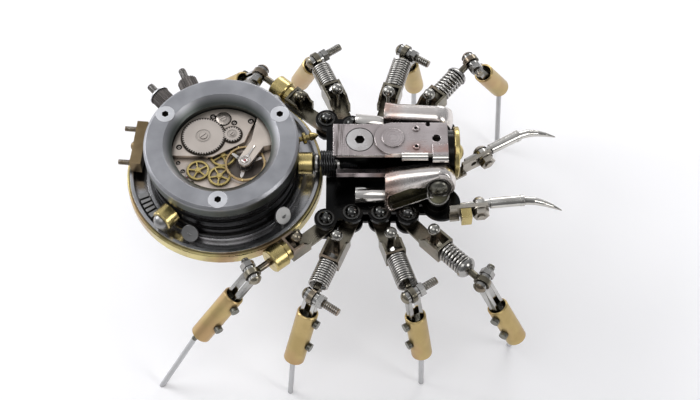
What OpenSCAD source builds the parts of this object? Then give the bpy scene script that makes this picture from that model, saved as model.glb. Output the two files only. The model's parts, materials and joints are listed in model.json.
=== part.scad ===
// Mechanical spider: a pocket-watch movement for an abdomen, a bolted plate
// thorax, two fangs and eight sprung, jointed legs. +X is forward, +Z is up.

/* [Abdomen] */
// Distance of the abdomen's brass rim behind the thorax datum
abdomen_back = 8.6; // [7.1:0.1:12.6]
// Height of the bezel's top face above the ground
bezel_top = 64; // [62:0.5:68]
// Outer radius of the bezel
bezel_r = 24; // [23.5:0.1:25]
// Radius of the window where the bezel's lip meets its top face
window_r = 18; // [17:0.1:18.6]
// Radius of the round inner lip
lip_r = 2.6; // [1.5:0.1:3]
// Outer radius of the drum under the bezel
drum_r = 23.2; // [22.6:0.1:23.6]
// Number of turned ribs on the drum
drum_ribs = 3; // [2:1:4]
// Outer radius of the steel carrier ring
carrier_r = 30.1; // [29:0.1:31]
// Height of the carrier ring's channel walls
carrier_h = 4; // [3:0.1:5]
// Radial thickness of the brass rim round the carrier ring
rim_t = 1; // [0.6:0.1:1.2]
// Height of the brass rim
rim_h = 4; // [3:0.1:5]

/* [Movement] */
// Radius of the movement's main plate
movement_r = 17.2; // [16.8:0.1:17.3]
// Depth of the main plate's face below the bezel's top
plate_depth = 7; // [6.6:0.1:8]
// Thickness of the main plate
plate_t = 2; // [1.5:0.1:2.5]
// Thickness of the barrel bridge
bridge_t = 1.8; // [1.6:0.1:2]
// Gear module of the winding wheels
winding_module = 0.257; // [0.24:0.001:0.26]
// Teeth of the ratchet wheel
ratchet_teeth = 50; // [44:2:52]
// Teeth of the crown wheel
crown_teeth = 20; // [18:1:22]
// Gear module of the going train
train_module = 0.146; // [0.135:0.001:0.15]
// Teeth of the centre wheel
centre_teeth = 56; // [48:2:56]
// Teeth of the third and fourth wheels
small_teeth = 48; // [40:2:48]
// Number of arms in each train wheel
wheel_arms = 5; // [4:1:6]
// Outer radius of the balance wheel
balance_r = 6.25; // [5.5:0.05:6.3]

/* [Thorax] */
// Height of the underside of the lower chassis plate
chassis_z = 42; // [41:0.1:43]
// Thickness of each chassis plate
chassis_t = 1.2; // [1:0.1:1.4]
// Clear height between the two chassis plates
chassis_gap = 4.4; // [4.3:0.1:4.8]
// Radius of the round lobe at each hip
lobe_r = 3.6; // [3:0.1:3.8]
// Radius of the round lobe under each lever
lever_lobe_r = 6; // [5.6:0.1:6.4]
// Half width of the head plates
head_half_w = 5.7; // [5:0.1:5.8]
// Height of the head's front plate
head_top = 66; // [65:0.1:67]
// Radius of the brass disc on the face
face_disc_r = 8; // [6:0.1:8.4]

/* [Levers] */
// Radius of each lever's round front end
lever_r = 5.6; // [4.6:0.1:5.8]
// Thickness of each lever
lever_t = 5.6; // [4.5:0.1:6]
// Outward tilt of each lever
lever_tilt = 20; // [12:1:26]
// Radius of the tube let into each lever's rear end
lever_tube_r = 2.4; // [1.8:0.1:2.6]

/* [Legs] */
// Width of the bent channel of each leg
channel_w = 6.4; // [5.8:0.1:6.6]
// Sheet thickness of the channel
sheet_t = 0.8; // [0.6:0.1:1]
// Radius of the rod through each spring
rod_r = 1.1; // [0.9:0.05:1.2]
// Radius of the hip bolts' shanks
hip_bolt_r = 1.25; // [1.1:0.05:1.3]
// Radius of the knee bolts' threads
knee_bolt_r = 1.15; // [1:0.05:1.2]
// Radius of the eye at each knee
eye_r = 2.6; // [2.5:0.1:2.8]
// Thickness of the eye at each knee
eye_t = 1.7; // [1.4:0.1:1.8]
// Outer radius of the brass sleeves
sleeve_r = 3.3; // [3.2:0.1:3.6]
// Wall of the brass sleeves
sleeve_wall = 0.6; // [0.5:0.05:0.7]
// Radius of the wire feet
foot_wire_r = 0.85; // [0.7:0.05:1]
// Radius of a close-wound leg spring, to the middle of its wire
spring_r = 2.9; // [2.6:0.1:3.1]
// Radius of the wire of the close-wound springs
spring_wire_r = 0.33; // [0.3:0.01:0.4]
// Outer radius of the brass roller on the rear legs
roller_r = 4; // [3.6:0.1:4.4]

/* [Fangs] */
// Radius of the fang tubes
fang_r = 1.7; // [1.4:0.05:1.8]
// Length of the fang tubes
fang_tube = 14; // [12:0.5:16]
// Reach of the pointed tip past its tube
fang_tip = 13; // [10:0.5:14]

/* [Hidden] */
$fn = 48;
RUN = 0.05;      // radial clearance of a running or threaded fit
SEAT = 0.05;     // clearance between pieces of one body that seat
SIDE = 0.1;      // clearance on each side of a moving piece
JOINT = 1.03;    // a ball at a bend is this much larger than the rods it joins

// ---- abdomen heights and radii ----
rim_reach = carrier_r + rim_t;
abdomen_x = -abdomen_back - rim_reach;
plate_top = bezel_top - plate_depth;
plate_bottom = plate_top - plate_t;
bridge_top = plate_top + bridge_t;
drum_top = plate_top + 1.4;
carrier_floor = 44;
carrier_wall = 1.1;
carrier_bore_r = 12;
drum_bottom = carrier_floor + carrier_wall;
window_bottom_r = movement_r - 1.2;
movement_x = 0.5;
screw_pitch_r = 20.6;
m3_head_r = 2.95;
m3_r = 1.5;
m4_head_r = 4.1;
m4_r = 2;
rim_axis_z = 51.5;
knob_z = drum_top - 4.4;
bush_r = 3.5;
bush_inset = 2.1;
bush_len = carrier_r - drum_r - bush_inset;
bush_angles = [0, 229, 57];
post_screw_r = 1.2;
socket_share = 0.39;
bezel_screw_len = 8;

// ---- the steel ring's channel, which holds the clips and the comb ----
trough_in = drum_r + 0.6 + carrier_wall;
trough_out = carrier_r - carrier_wall;
trough_w = trough_out - trough_in;
trough_mid = (trough_in + trough_out) / 2;
clip_at = trough_in + 0.32 * trough_w;
clip_r = 0.22 * trough_w;
clip_h = 5.2;
clip_head_r = 2.7;
comb_w = 0.73 * trough_w;
comb_h = 3.6;
comb_span = 19;
comb_pitch = 3.6;
comb_slot = 0.7;
band_z = rim_axis_z + bush_r + SEAT;
band_h = drum_top - SEAT - band_z;
band_t = 0.7;
clasp_w = 5.2;
clasp_t = 2.4;

// ---- movement layout, from the movement's centre ----
ratchet_at = [-6.6, 5.1];
train_at = [-0.3, -0.9];
balance_at = [6.8, -4.5];
crown_angle = 5;
third_angle = -96;
fourth_angle = 163;
wheel_t = 0.5;
pivot_r = 0.25;
arbor_r = 0.7;
winding_z = bridge_top + SIDE;
train_z = plate_top + 0.3;
balance_z = bridge_top - 0.6;
cock_z = balance_z + 1.2;
cock_t = 1;

// ---- thorax heights ----
lower_top = chassis_z + chassis_t;
upper_bottom = lower_top + chassis_gap;
upper_top = upper_bottom + chassis_t;
chassis_rear = -7;
chassis_front = 32;
chassis_half_w = 13.5;
core_half_w = 8.5;
spine_half_w = 4.6;
spine_front = 30.2;
spine_step_x = 3;
head_rear = -5.2;
head_front = 30;
head_t = 1.2;
front_plate_t = 0.8;
head_base = head_top - front_plate_t - head_t;
head_screw_len = 0.64 * (head_base + head_t - rim_axis_z - post_screw_r);
boss_x = 13.2;
waist_washer_x = -4;
waist_washer_r = 4.4;
waist_washer_t = 0.8;
waist_coil_r = 3.7;
waist_wire_r = 0.4;
face_z = 58;
face_flange_t = 1.9;
face_flange_r = face_disc_r - 1.2;
face_disc_t = 1.6;
lever_at = [27.3, 12.5, 56.3];
lever_len = 16.5;
lever_boss_r = 3.6;
lever_bolt_r = 1.4;
front_lobe_at = [28.5, 13];

// ---- legs, rear to front on one side; the other side is its mirror ----
LEGS = [0:3];
rear_hip = polar(rim_reach + 6, 29.9);
rear_knee = polar(rim_reach + 7.5, 75.1);
hip_x = [abdomen_x + rear_hip[0], 0.5, 9.3, 18];
hip_y = [rear_hip[1], 16.3, 16.3, 16.6];
knee_x = [abdomen_x + rear_knee[0], -11.3, 18.5, 40];
knee_y = [rear_knee[1], 44.1, 45, 41];
knee_z = [47.5, 46, 49, 49.5];
channel_end = [15.4, 18, 16, 17];
spring_len = [5.2, 8.8, 10.8, 8.6];
ball_at = [11.7, 11.8, 10.4, 11.4];
ball_z = [50.7, 53.4, 53.4, 53.4];
shin_yaw = [-153, -125, -57, -29];
shin_tilt = [39, 23.7, 15.2, 29.5];
sleeve_start = [10.5, 6.5, 10, 12];
sleeve_len = [20.5, 21, 19, 16.5];
wire_shift = [1.2, 0, -0.6, -1.2];
foot_out = [35.5, 14.2, 8.8, 10.3];
foot_side = [0, 0, 0, 8.2];
thread_out = [5.6, 9.6, 9, 6.2];
nut_side = [-1, 1, 1, 1];
set_screw_side = [1, 1, -1, -1];
fold_at = 8.4;
tab_half_w = 2.5;
tab_t = 1;
tab_z = lower_top + SEAT;
femur_z = tab_z + 3.35;
channel_drop = femur_z - tab_z;
channel_rise = 2.9;
root_rise = upper_bottom - femur_z - SIDE;
fork_gap = eye_t + 2 * SIDE;
fork_arm_t = 1.2;
fork_half_w = fork_gap / 2 + fork_arm_t;
fork_bar = 1.25;
fork_end_r = eye_r - 0.7;
sleeve_bore_r = sleeve_r - sleeve_wall;
set_screw_r = 0.9;
open_wire_r = 0.45;
open_turns = 7;

// ---- fangs: right, left ----
fang_at = [[40, -15.3, 52], [41.5, 3.2, 52]];
fang_yaw = [6, 29.5];
fang_turn = [-10, -18];
fang_droop = 22;
fang_tail = 6;
fang_flat = 1.4;
fang_root = 3.4;
fang_bolt_r = 1.2;
tip_bends = 4;
lug_t = 1.2;
lug_half_h = 2.2;
lug_from = [-9.5, -8];
lug_side = -fang_flat / 2 - SIDE;
lug_foot_z = upper_top + SEAT - fang_at[0][2];

// ---- overall reach, used to centre the model on its footprint ----
front_reach = max([for (k = [0, 1]) let (tip = tip_point(k, tip_bends))
    fang_at[k][0] + tip[0] * cos(fang_yaw[k]) - tip[1] * sin(fang_yaw[k]) + tip_r(tip_bends) * JOINT]);
bar_normal = 175;
bar_out = drum_r + 4.5;
bar_t = 3.5;
bar_half_l = 8;
bar_h = 5;
stud_len = 4;
stud_r = 0.8;
stud_thread_r = 1;
stud_side = 6.3;
bar_slide = -4.5;
rear_reach = abdomen_x + (bar_out + bar_t / 2 + stud_len) * cos(bar_normal)
    - (bar_slide + stud_side) * sin(bar_normal) - stud_r * sin(bar_normal);
mid_x = (front_reach + rear_reach) / 2;

function polar(r, a) = [r * cos(a), r * sin(a)];
function leg_name(side, i, piece) = str("leg_", side, i + 1, "_", piece);
LEG_PIECES = ["femur", "spring", "shin", "sleeve"];
LEG_NODES = [for (side = ["right", "left"]) for (i = LEGS) for (piece = LEG_PIECES) leg_name(side, i, piece)];
BODY_NODES = [
    "bezel", "drum", "carrier_ring", "brass_rim", "rim_bushes", "rim_screws", "crown_knobs",
    "main_plate", "bridges", "ratchet_wheel", "crown_wheel", "centre_wheel", "third_wheel",
    "fourth_wheel", "balance_wheel", "chassis", "spine_block", "chassis_bolts", "waist_springs",
    "head_plates", "countersunk_screws", "lever_right", "lever_left", "face_disc",
    "rear_bar", "fang_mounts", "fang_right", "fang_left"
];

// ---------------------------------------------------------------- helpers

module place() { translate([-mid_x, 0, 0]) children(); }
module at_abdomen() { place() translate([abdomen_x, 0, 0]) children(); }
module at_movement() { at_abdomen() translate([movement_x, 0, 0]) children(); }
// a child drawn along +Z is laid along +X
module along_x() { rotate([0, 90, 0]) children(); }
module along_y() { rotate([-90, 0, 0]) children(); }
// a child drawn along +X is laid radially at an angle and a height
module radial(angle, z) { rotate([0, 0, angle]) translate([0, 0, z]) children(); }

module ring(outer, inner, h) {
    difference() {
        cylinder(r = outer, h = h);
        translate([0, 0, -1]) cylinder(r = inner, h = h + 2);
    }
}

// straight rod or cone between two points
module rod_between(p, q, r1, r2) {
    d = q - p;
    translate(p)
        rotate([0, acos(d[2] / norm(d)), atan2(d[1], d[0])])
            cylinder(r1 = r1, r2 = r2, h = norm(d));
}

// dome on the XY plane, its top at +Z
module dome(r, h) {
    sphere_r = (r * r + h * h) / (2 * h);
    rotate_extrude() intersection() {
        translate([0, h - sphere_r]) circle(r = sphere_r);
        square([r, h]);
    }
}

module hex_nut(flats, h, bore) {
    difference() {
        cylinder(d = flats / cos(30), h = h, $fn = 6);
        translate([0, 0, -1]) cylinder(r = bore, h = h + 2);
    }
}

// flat-topped countersunk screw, head face at z = 0 and shank down
module countersunk(head_r, shank_r, length) {
    socket_r = head_r * socket_share;
    difference() {
        rotate_extrude() polygon([
            [0, 0], [head_r, 0], [head_r, -0.25], [shank_r, -head_r + shank_r - 0.25],
            [shank_r, -length], [0, -length]
        ]);
        translate([0, 0, -head_r * 0.35]) cylinder(r = socket_r, h = head_r, $fn = 6);
    }
}

// the hole that such a screw seats in
module countersink(head_r, shank_r, length) {
    rotate_extrude() polygon([
        [0, 1], [head_r + SEAT, 1], [head_r + SEAT, -0.25 - SEAT],
        [shank_r + SEAT, -head_r + shank_r - 0.25 - SEAT],
        [shank_r + SEAT, -length - SEAT], [0, -length - SEAT]
    ]);
}

// stack of touching coils along +Z
module close_coil(length, coil_r, wire_r) {
    turns = floor(length / (2 * wire_r));
    pitch = length / turns;
    rotate_extrude() {
        for (i = [0:turns - 1]) translate([coil_r, (i + 0.5) * pitch]) circle(r = pitch / 2, $fn = 24);
        translate([coil_r - wire_r, pitch / 2]) square([wire_r, length - pitch]);
    }
}

// open helix along +Z as a swept polygon
module open_coil(turns, length, coil_r, wire_r, sides = 6, steps = 12) {
    total = turns * steps;
    lean = atan2(length - 2 * wire_r, turns * 360 * coil_r * PI / 180);
    ring_points = [for (k = [0:total]) for (j = [0:sides - 1])
        let (a = 360 * k / steps, b = 360 * j / sides, r = coil_r + wire_r * cos(b))
        [
            r * cos(a) + wire_r * sin(b) * sin(lean) * sin(a),
            r * sin(a) - wire_r * sin(b) * sin(lean) * cos(a),
            wire_r + (length - 2 * wire_r) * k / total + wire_r * sin(b) * cos(lean)
        ]];
    side_faces = [for (k = [0:total - 1]) for (j = [0:sides - 1])
        let (n = (j + 1) % sides)
        [k * sides + j, k * sides + n, (k + 1) * sides + n, (k + 1) * sides + j]];
    first_cap = [[for (j = [sides - 1:-1:0]) j]];
    last_cap = [[for (j = [0:sides - 1]) total * sides + j]];
    polyhedron(points = ring_points, faces = concat(side_faces, first_cap, last_cap));
}

// ------------------------------------------------------------------ gears

// outline of a wheel with short pointed teeth, one tooth centred on +X
TOOTH = [[-1.1, -0.27], [0, -0.2], [0.85, -0.07], [0.85, 0.07], [0, 0.2], [-1.1, 0.27]];
function gear_outline(teeth, m) =
    let (pitch_r = m * teeth / 2, step = 360 / teeth)
    [for (i = [0:teeth - 1]) for (p = TOOTH) polar(pitch_r + p[0] * m, step * (i + p[1]))];

module spoked_wheel(teeth, m, arms) {
    root_r = m * teeth / 2 - 1.1 * m;
    rim_inner = root_r - 0.45;
    difference() {
        linear_extrude(wheel_t) polygon(gear_outline(teeth, m));
        difference() {
            translate([0, 0, -1]) cylinder(r = rim_inner, h = wheel_t + 2);
            translate([0, 0, -2]) cylinder(r = arbor_r + 0.25, h = wheel_t + 4);
            for (a = [0:arms - 1]) rotate([0, 0, a * 360 / arms])
                translate([0, -0.22, -2]) cube([rim_inner + 1, 0.44, wheel_t + 4]);
        }
    }
}

// arbor with a pivot at its foot that turns in a jewel hole
module arbor(foot, top) {
    translate([0, 0, foot]) cylinder(r = arbor_r, h = top - foot);
    translate([0, 0, foot - 0.9]) cylinder(r = pivot_r, h = 1);
}

function mesh_distance(z1, z2, m) = m * (z1 + z2) / 2;
// tooth angle of wheel 2 that meshes with wheel 1, along the line from 1 to 2
function mesh_phase(phase1, z1, z2, line) = line + 180 - (phase1 - line) * z1 / z2 + 180 / z2;

crown_at = ratchet_at + polar(mesh_distance(ratchet_teeth, crown_teeth, winding_module), crown_angle);
crown_phase = mesh_phase(crown_angle, ratchet_teeth, crown_teeth, crown_angle);
third_at = train_at + polar(mesh_distance(centre_teeth, small_teeth, train_module), third_angle);
third_phase = mesh_phase(0, centre_teeth, small_teeth, third_angle);
fourth_at = third_at + polar(mesh_distance(small_teeth, small_teeth, train_module), fourth_angle);
fourth_phase = mesh_phase(third_phase, small_teeth, small_teeth, fourth_angle);

// ---------------------------------------------------------------- abdomen

module bezel() {
    color([0.55, 0.56, 0.58]) at_abdomen() difference() {
        rotate_extrude() difference() {
            polygon([
                [window_bottom_r, plate_top + SEAT], [movement_r, plate_top + SEAT],
                [movement_r, drum_top + SEAT], [bezel_r - 0.4, drum_top + SEAT],
                [bezel_r, drum_top + 1], [bezel_r, bezel_top - 0.8], [bezel_r - 0.8, bezel_top],
                [window_r, bezel_top], [window_r - lip_r, bezel_top - lip_r],
                [window_bottom_r, bezel_top - lip_r - 1]
            ]);
            translate([window_r - lip_r, bezel_top - lip_r]) difference() {
                square([lip_r, lip_r + 1]);
                translate([lip_r, 0]) circle(r = lip_r);
            }
        }
        for (a = [30, 150, 270]) rotate([0, 0, a]) translate([screw_pitch_r, 0, bezel_top])
            countersink(m3_head_r, m3_r, bezel_screw_len);
    }
}

module drum() {
    rib_h = (drum_top - drum_bottom) / (drum_ribs * 2);
    color([0.09, 0.09, 0.1]) at_abdomen() difference() {
        rotate_extrude() difference() {
            union() {
                translate([0, drum_bottom]) square([drum_r - 0.7, drum_top - drum_bottom]);
                translate([0, carrier_floor]) square([carrier_bore_r - SEAT, carrier_wall + 1]);
                for (i = [0:drum_ribs - 1]) translate([drum_r - 1.4, drum_bottom + (2 * i + 1) * rib_h])
                    square([1.4, rib_h]);
            }
            translate([0, plate_bottom - SEAT]) square([movement_r + SEAT, drum_top]);
        }
        for (a = [30, 150, 270]) rotate([0, 0, a]) translate([screw_pitch_r, 0, bezel_top])
            countersink(m3_head_r, m3_r, bezel_screw_len);
        for (a = bush_angles) radial(a, rim_axis_z)
            translate([drum_r - 6, 0, 0]) along_x() cylinder(r = post_screw_r + RUN, h = 10);
    }
}

module carrier_ring() {
    color([0.45, 0.45, 0.46]) at_abdomen() rotate_extrude() union() {
        translate([carrier_bore_r, carrier_floor]) square([carrier_r - carrier_bore_r, carrier_wall]);
        translate([carrier_r - carrier_wall, carrier_floor]) square([carrier_wall, carrier_h]);
        translate([trough_in - carrier_wall, carrier_floor]) square([carrier_wall, carrier_h - 1]);
    }
}

module brass_rim() {
    color([0.78, 0.63, 0.28]) at_abdomen() translate([0, 0, carrier_floor - 1])
        rotate_extrude() polygon([
            [carrier_r + SEAT, 0], [rim_reach - 0.3, 0], [rim_reach, 0.3],
            [rim_reach, rim_h - 0.3], [rim_reach - 0.3, rim_h], [carrier_r + SEAT, rim_h]
        ]);
}

module rim_bushes() {
    color([0.8, 0.64, 0.27]) at_abdomen() {
        for (a = bush_angles) radial(a, rim_axis_z) translate([drum_r + SEAT, 0, 0]) along_x() difference() {
            rotate_extrude() polygon([
                [0, 0], [bush_r - 0.3, 0], [bush_r, 0.3], [bush_r, bush_len - 0.3],
                [bush_r - 0.3, bush_len], [0, bush_len]
            ]);
            translate([0, 0, -1]) cylinder(r = post_screw_r + SEAT, h = bush_len + 2);
        }
        // turned finial screwed into the drum
        radial(17, knob_z) translate([drum_r + SEAT, 0, 0]) along_x() rotate_extrude() polygon([
            [0, 0], [1.6, 0], [1.6, 1.2], [0.8, 1.5], [0.8, 2.4], [1.9, 2.7], [1.9, 3.5],
            [0.9, 3.8], [0.9, 4.8], [1.4, 5.1], [1.2, 6.2], [0.4, 7.6], [0, 7.6]
        ]);
    }
}

module rim_screws() {
    head_out = drum_r + SEAT + bush_len + SEAT;
    color([0.75, 0.76, 0.78]) at_abdomen() {
        // domed screws through the two free bushes
        for (i = [1, 2]) radial(bush_angles[i], rim_axis_z) along_x() {
            translate([0, 0, drum_r - 4]) cylinder(r = post_screw_r, h = head_out - drum_r + 4.1);
            translate([0, 0, head_out]) dome(2.6, 2.2);
        }
        // mushroom-headed clips that stand in the channel and hold the drum
        for (a = [249, 316]) rotate([0, 0, a]) translate([clip_at, 0, drum_bottom + SEAT]) {
            cylinder(r = clip_r, h = clip_h);
            translate([0, 0, clip_h - 0.2]) rotate([0, 50, 0]) translate([0, 0, -0.4])
                cylinder(r = clip_head_r, h = 0.8);
        }
        // comb-like segment let into the channel
        rotate([0, 0, 210]) translate([0, 0, drum_bottom + SEAT]) difference() {
            rotate([0, 0, -comb_span / 2]) rotate_extrude(angle = comb_span)
                translate([trough_mid - comb_w / 2, 0]) square([comb_w, comb_h]);
            for (k = [-1.5:1.5]) rotate([0, 0, k * comb_pitch]) translate([trough_in, -comb_slot / 2, 2])
                cube([trough_w, comb_slot, comb_h]);
        }
        // curved spring band and slotted clasp on the drum's left side
        radial(32, band_z) rotate_extrude(angle = 46)
            translate([drum_r + SEAT, 0]) square([band_t, band_h]);
        radial(68, band_z) translate([drum_r + band_t + 2 * SEAT, -clasp_w / 2, 0]) difference() {
            cube([clasp_t, clasp_w, band_h]);
            translate([clasp_t - 1, 1, band_h - 1.3]) cube([2, clasp_w - 2, 2]);
        }
    }
}

module rear_bar() {
    color([0.5, 0.39, 0.22]) at_abdomen() rotate([0, 0, bar_normal])
        translate([bar_out, bar_slide, carrier_floor + carrier_h + SEAT]) {
        difference() {
            translate([-bar_t / 2, -bar_half_l, 0]) cube([bar_t, 2 * bar_half_l, bar_h]);
            for (s = [-1, 1]) translate([-bar_t, s * stud_side, bar_h / 2]) along_x()
                cylinder(r = stud_thread_r + SEAT, h = 2 * bar_t);
        }
        for (s = [-1, 1]) translate([-bar_t / 2, s * stud_side, bar_h / 2]) along_x() {
            cylinder(r = stud_thread_r, h = bar_t);
            cylinder(r = stud_r, h = bar_t + stud_len);
        }
        translate([bar_t / 2, 0, bar_h / 2]) along_x() dome(1.6, 1.2);
    }
}

module crown_knobs() {
    color([0.16, 0.15, 0.14]) at_abdomen() for (a = [132, 114]) radial(a, knob_z)
        translate([drum_r + SEAT, 0, 0]) along_x() {
            cylinder(r = 1.8, h = 4.2);
            translate([0, 0, 4.1]) linear_extrude(5) polygon([for (k = [0:47])
                polar(k % 2 == 0 ? 3.2 : 2.95, k * 7.5)]);
            translate([0, 0, 9]) cylinder(r1 = 2.4, r2 = 1.6, h = 1);
            translate([0, 0, 9.9]) cylinder(r = 1.1, h = 4.2);
        }
}

// --------------------------------------------------------------- movement

module jewel_holes() {
    for (p = [ratchet_at, crown_at, train_at, third_at, fourth_at, balance_at])
        translate([p[0], p[1], plate_top - 1.2]) cylinder(r = pivot_r + RUN, h = 3);
}

module main_plate() {
    color([0.72, 0.68, 0.62]) at_movement() difference() {
        translate([-movement_x, 0, plate_bottom]) cylinder(r = movement_r, h = plate_t);
        jewel_holes();
        translate([balance_at[0], balance_at[1], plate_top - 0.5]) ring(balance_r + 0.3, 1.6, 1);
        for (p = [[-12.6, -6.4], [-9.6, -10.6], [4.9, -12.6], [-14.2, -3.4]])
            translate([p[0], p[1], plate_top - 0.6]) cylinder(r = 0.55, h = 1);
    }
}

bridge_edge = [[-20, -1.6], [-3.3, -2.1], [6.2, 3.2], [9.6, 12.5], [9.6, 20], [-20, 20]];
cock_edge = [[8.6, 2.9], [5.1, -3.3], [8.7, -5.2], [12.4, 0.6], [20, 2.4], [20, 20], [10.3, 12.4]];

module bridges() {
    upper_r = window_bottom_r - 0.35;
    color([0.74, 0.7, 0.64]) at_movement() {
        difference() {
            intersection() {
                translate([-movement_x, 0, plate_top]) cylinder(r = upper_r, h = bridge_t);
                translate([0, 0, plate_top]) linear_extrude(bridge_t) polygon(bridge_edge);
            }
            translate([train_at[0], train_at[1], plate_top - 1])
                cylinder(r = train_module * centre_teeth / 2 + 0.7, h = 1 + 1.2);
            for (p = [ratchet_at, crown_at]) translate([p[0], p[1], plate_top - 1])
                cylinder(r = arbor_r + RUN, h = bridge_t + 2);
            translate([-0.7, 11.8, bridge_top - 0.5]) ring(2.2, 1.5, 1);
            for (p = [[-4, 12.7], [8, 11], [-14, 1.3], [2.8, 10.4]])
                translate([p[0], p[1], bridge_top - 0.6]) cylinder(r = 0.65, h = 1);
        }
        difference() {
            intersection() {
                translate([-movement_x, 0, plate_top]) cylinder(r = upper_r, h = cock_z + cock_t - plate_top);
                union() {
                    translate([0, 0, plate_top]) linear_extrude(cock_z + cock_t - plate_top)
                        polygon(cock_edge);
                    translate([balance_at[0], balance_at[1], cock_z]) cylinder(r = 2, h = cock_t);
                }
            }
            translate([balance_at[0], balance_at[1], plate_top - 1])
                cylinder(r = balance_r + 0.35, h = cock_z - plate_top + 1);
            translate([balance_at[0], balance_at[1], cock_z - 1]) cylinder(r = pivot_r + RUN, h = 3);
        }
    }
}

module winding_wheel(teeth, hub_r) {
    difference() {
        linear_extrude(wheel_t) polygon(gear_outline(teeth, winding_module));
        translate([0, 0, wheel_t - 0.12]) ring(hub_r + 0.5, hub_r, 1);
    }
    rotate([0, 0, 35]) difference() {
        cylinder(r = hub_r * 0.6, h = wheel_t + 0.3);
        translate([-hub_r, -0.12, wheel_t + 0.05]) cube([2 * hub_r, 0.24, 1]);
    }
    translate([0, 0, plate_top + 0.1 - winding_z]) cylinder(r = arbor_r, h = winding_z - plate_top);
    translate([0, 0, plate_top - 0.9 - winding_z]) cylinder(r = pivot_r, h = 1.1);
}

module ratchet_wheel() {
    color([0.76, 0.72, 0.66]) at_movement() translate([ratchet_at[0], ratchet_at[1], winding_z])
        rotate([0, 0, crown_angle]) winding_wheel(ratchet_teeth, 1.9);
}

module crown_wheel() {
    color([0.7, 0.68, 0.64]) at_movement() translate([crown_at[0], crown_at[1], winding_z])
        rotate([0, 0, crown_phase]) winding_wheel(crown_teeth, 1.1);
}

module train_wheel(at, phase, teeth) {
    color([0.8, 0.66, 0.3]) at_movement() translate([at[0], at[1], 0]) rotate([0, 0, phase]) {
        translate([0, 0, train_z]) spoked_wheel(teeth, train_module, wheel_arms);
        arbor(plate_top + 0.1, train_z + wheel_t + 0.3);
    }
}

module centre_wheel() { train_wheel(train_at, 0, centre_teeth); }
module third_wheel() { train_wheel(third_at, third_phase, small_teeth); }
module fourth_wheel() { train_wheel(fourth_at, fourth_phase, small_teeth); }

module balance_wheel() {
    color([0.85, 0.7, 0.4]) at_movement() translate([balance_at[0], balance_at[1], 0]) {
        translate([0, 0, balance_z]) {
            ring(balance_r, balance_r - 0.55, 0.6);
            intersection() {
                cylinder(r = balance_r - 0.3, h = 0.6);
                for (a = [20, 140, 260]) rotate([0, 0, a]) translate([0, -0.3, 0.1]) cube([10, 0.6, 0.4]);
            }
            cylinder(r = 1.1, h = 0.6);
        }
        translate([0, 0, plate_top + 0.1]) cylinder(r = 0.5, h = cock_z - plate_top - 0.2);
        translate([0, 0, plate_top - 0.9]) cylinder(r = pivot_r, h = cock_z - plate_top + 1.6);
    }
}

// ----------------------------------------------------------------- thorax

module both_sides() {
    children();
    mirror([0, 1, 0]) children();
}

module at_hips() {
    for (i = LEGS) translate([hip_x[i], -hip_y[i], 0]) children();
}

module chassis_plate(z, lobes_in_front) {
    translate([0, 0, z]) {
        translate([chassis_rear, -chassis_half_w, 0])
            cube([chassis_front - chassis_rear, 2 * chassis_half_w, chassis_t]);
        both_sides() {
            at_hips() cylinder(r = lobe_r, h = chassis_t);
            translate([hip_x[1] - lobe_r, -hip_y[1], 0])
                cube([hip_x[3] - hip_x[1] + 2 * lobe_r, hip_y[1], chassis_t]);
            translate([hip_x[0], -hip_y[0], 0]) cube([hip_x[1] - hip_x[0], hip_y[0], chassis_t]);
            if (lobes_in_front) translate([front_lobe_at[0], -front_lobe_at[1], 0])
                cylinder(r = lever_lobe_r, h = chassis_t);
        }
    }
}

module at_lever() {
    translate([lever_at[0], -lever_at[1], lever_at[2]]) rotate([lever_tilt, 0, 0]) children();
}

module chassis() {
    color([0.08, 0.08, 0.09]) place() difference() {
        union() {
            chassis_plate(chassis_z, false);
            chassis_plate(upper_bottom, true);
            translate([chassis_rear + 1, -core_half_w, chassis_z])
                cube([chassis_front - chassis_rear - 2, 2 * core_half_w, upper_bottom - chassis_z + 0.5]);
            both_sides() difference() {
                translate([lever_at[0], -lever_at[1], upper_bottom])
                    cylinder(r = lever_boss_r, h = lever_at[2] - upper_bottom);
                at_lever() translate([-10, -10, -lever_t / 2 - SEAT]) cube([20, 20, 20]);
            }
        }
        both_sides() {
            at_hips() translate([0, 0, chassis_z - 1]) cylinder(r = hip_bolt_r + SEAT, h = 10);
            at_lever() translate([0, 0, -lever_t]) cylinder(r = lever_bolt_r + SEAT, h = 10);
        }
        // relief for the waist washer and the wide spring behind it
        translate([chassis_rear - 1, 0, rim_axis_z]) along_x()
            cylinder(r = waist_washer_r + 2 * SEAT, h = waist_washer_x + waist_washer_t + SIDE - chassis_rear + 1);
    }
}

module spine_block() {
    color([0.1, 0.1, 0.11]) place() difference() {
        union() {
            translate([0, spine_half_w, 0]) rotate([90, 0, 0]) linear_extrude(2 * spine_half_w) polygon([
                [spine_step_x, upper_top + SEAT], [spine_front, upper_top + SEAT],
                [spine_front, head_base - SEAT], [head_rear + 0.6, head_base - SEAT],
                [head_rear + 0.6, head_base - 3], [spine_step_x, head_base - 6.5]
            ]);
            translate([spine_front, 0, face_z]) along_x() cylinder(r = face_flange_r, h = face_flange_t);
        }
        // threaded hole of the waist bolt
        translate([spine_step_x - 1, 0, rim_axis_z]) along_x() cylinder(r = post_screw_r + SEAT, h = 8);
        // pockets milled in both flanks
        for (s = [-1, 1]) for (x = [spine_step_x + 3, 15]) translate([x, s * spine_half_w - 1, upper_top + 3])
            cube([8, 2, 7]);
        translate([3, 0, head_top - front_plate_t]) countersink(m4_head_r, m4_r, head_screw_len);
        translate([spine_front - 4, 0, face_z]) along_x() cylinder(r = 1.5 + SEAT, h = 20);
    }
}

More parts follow.
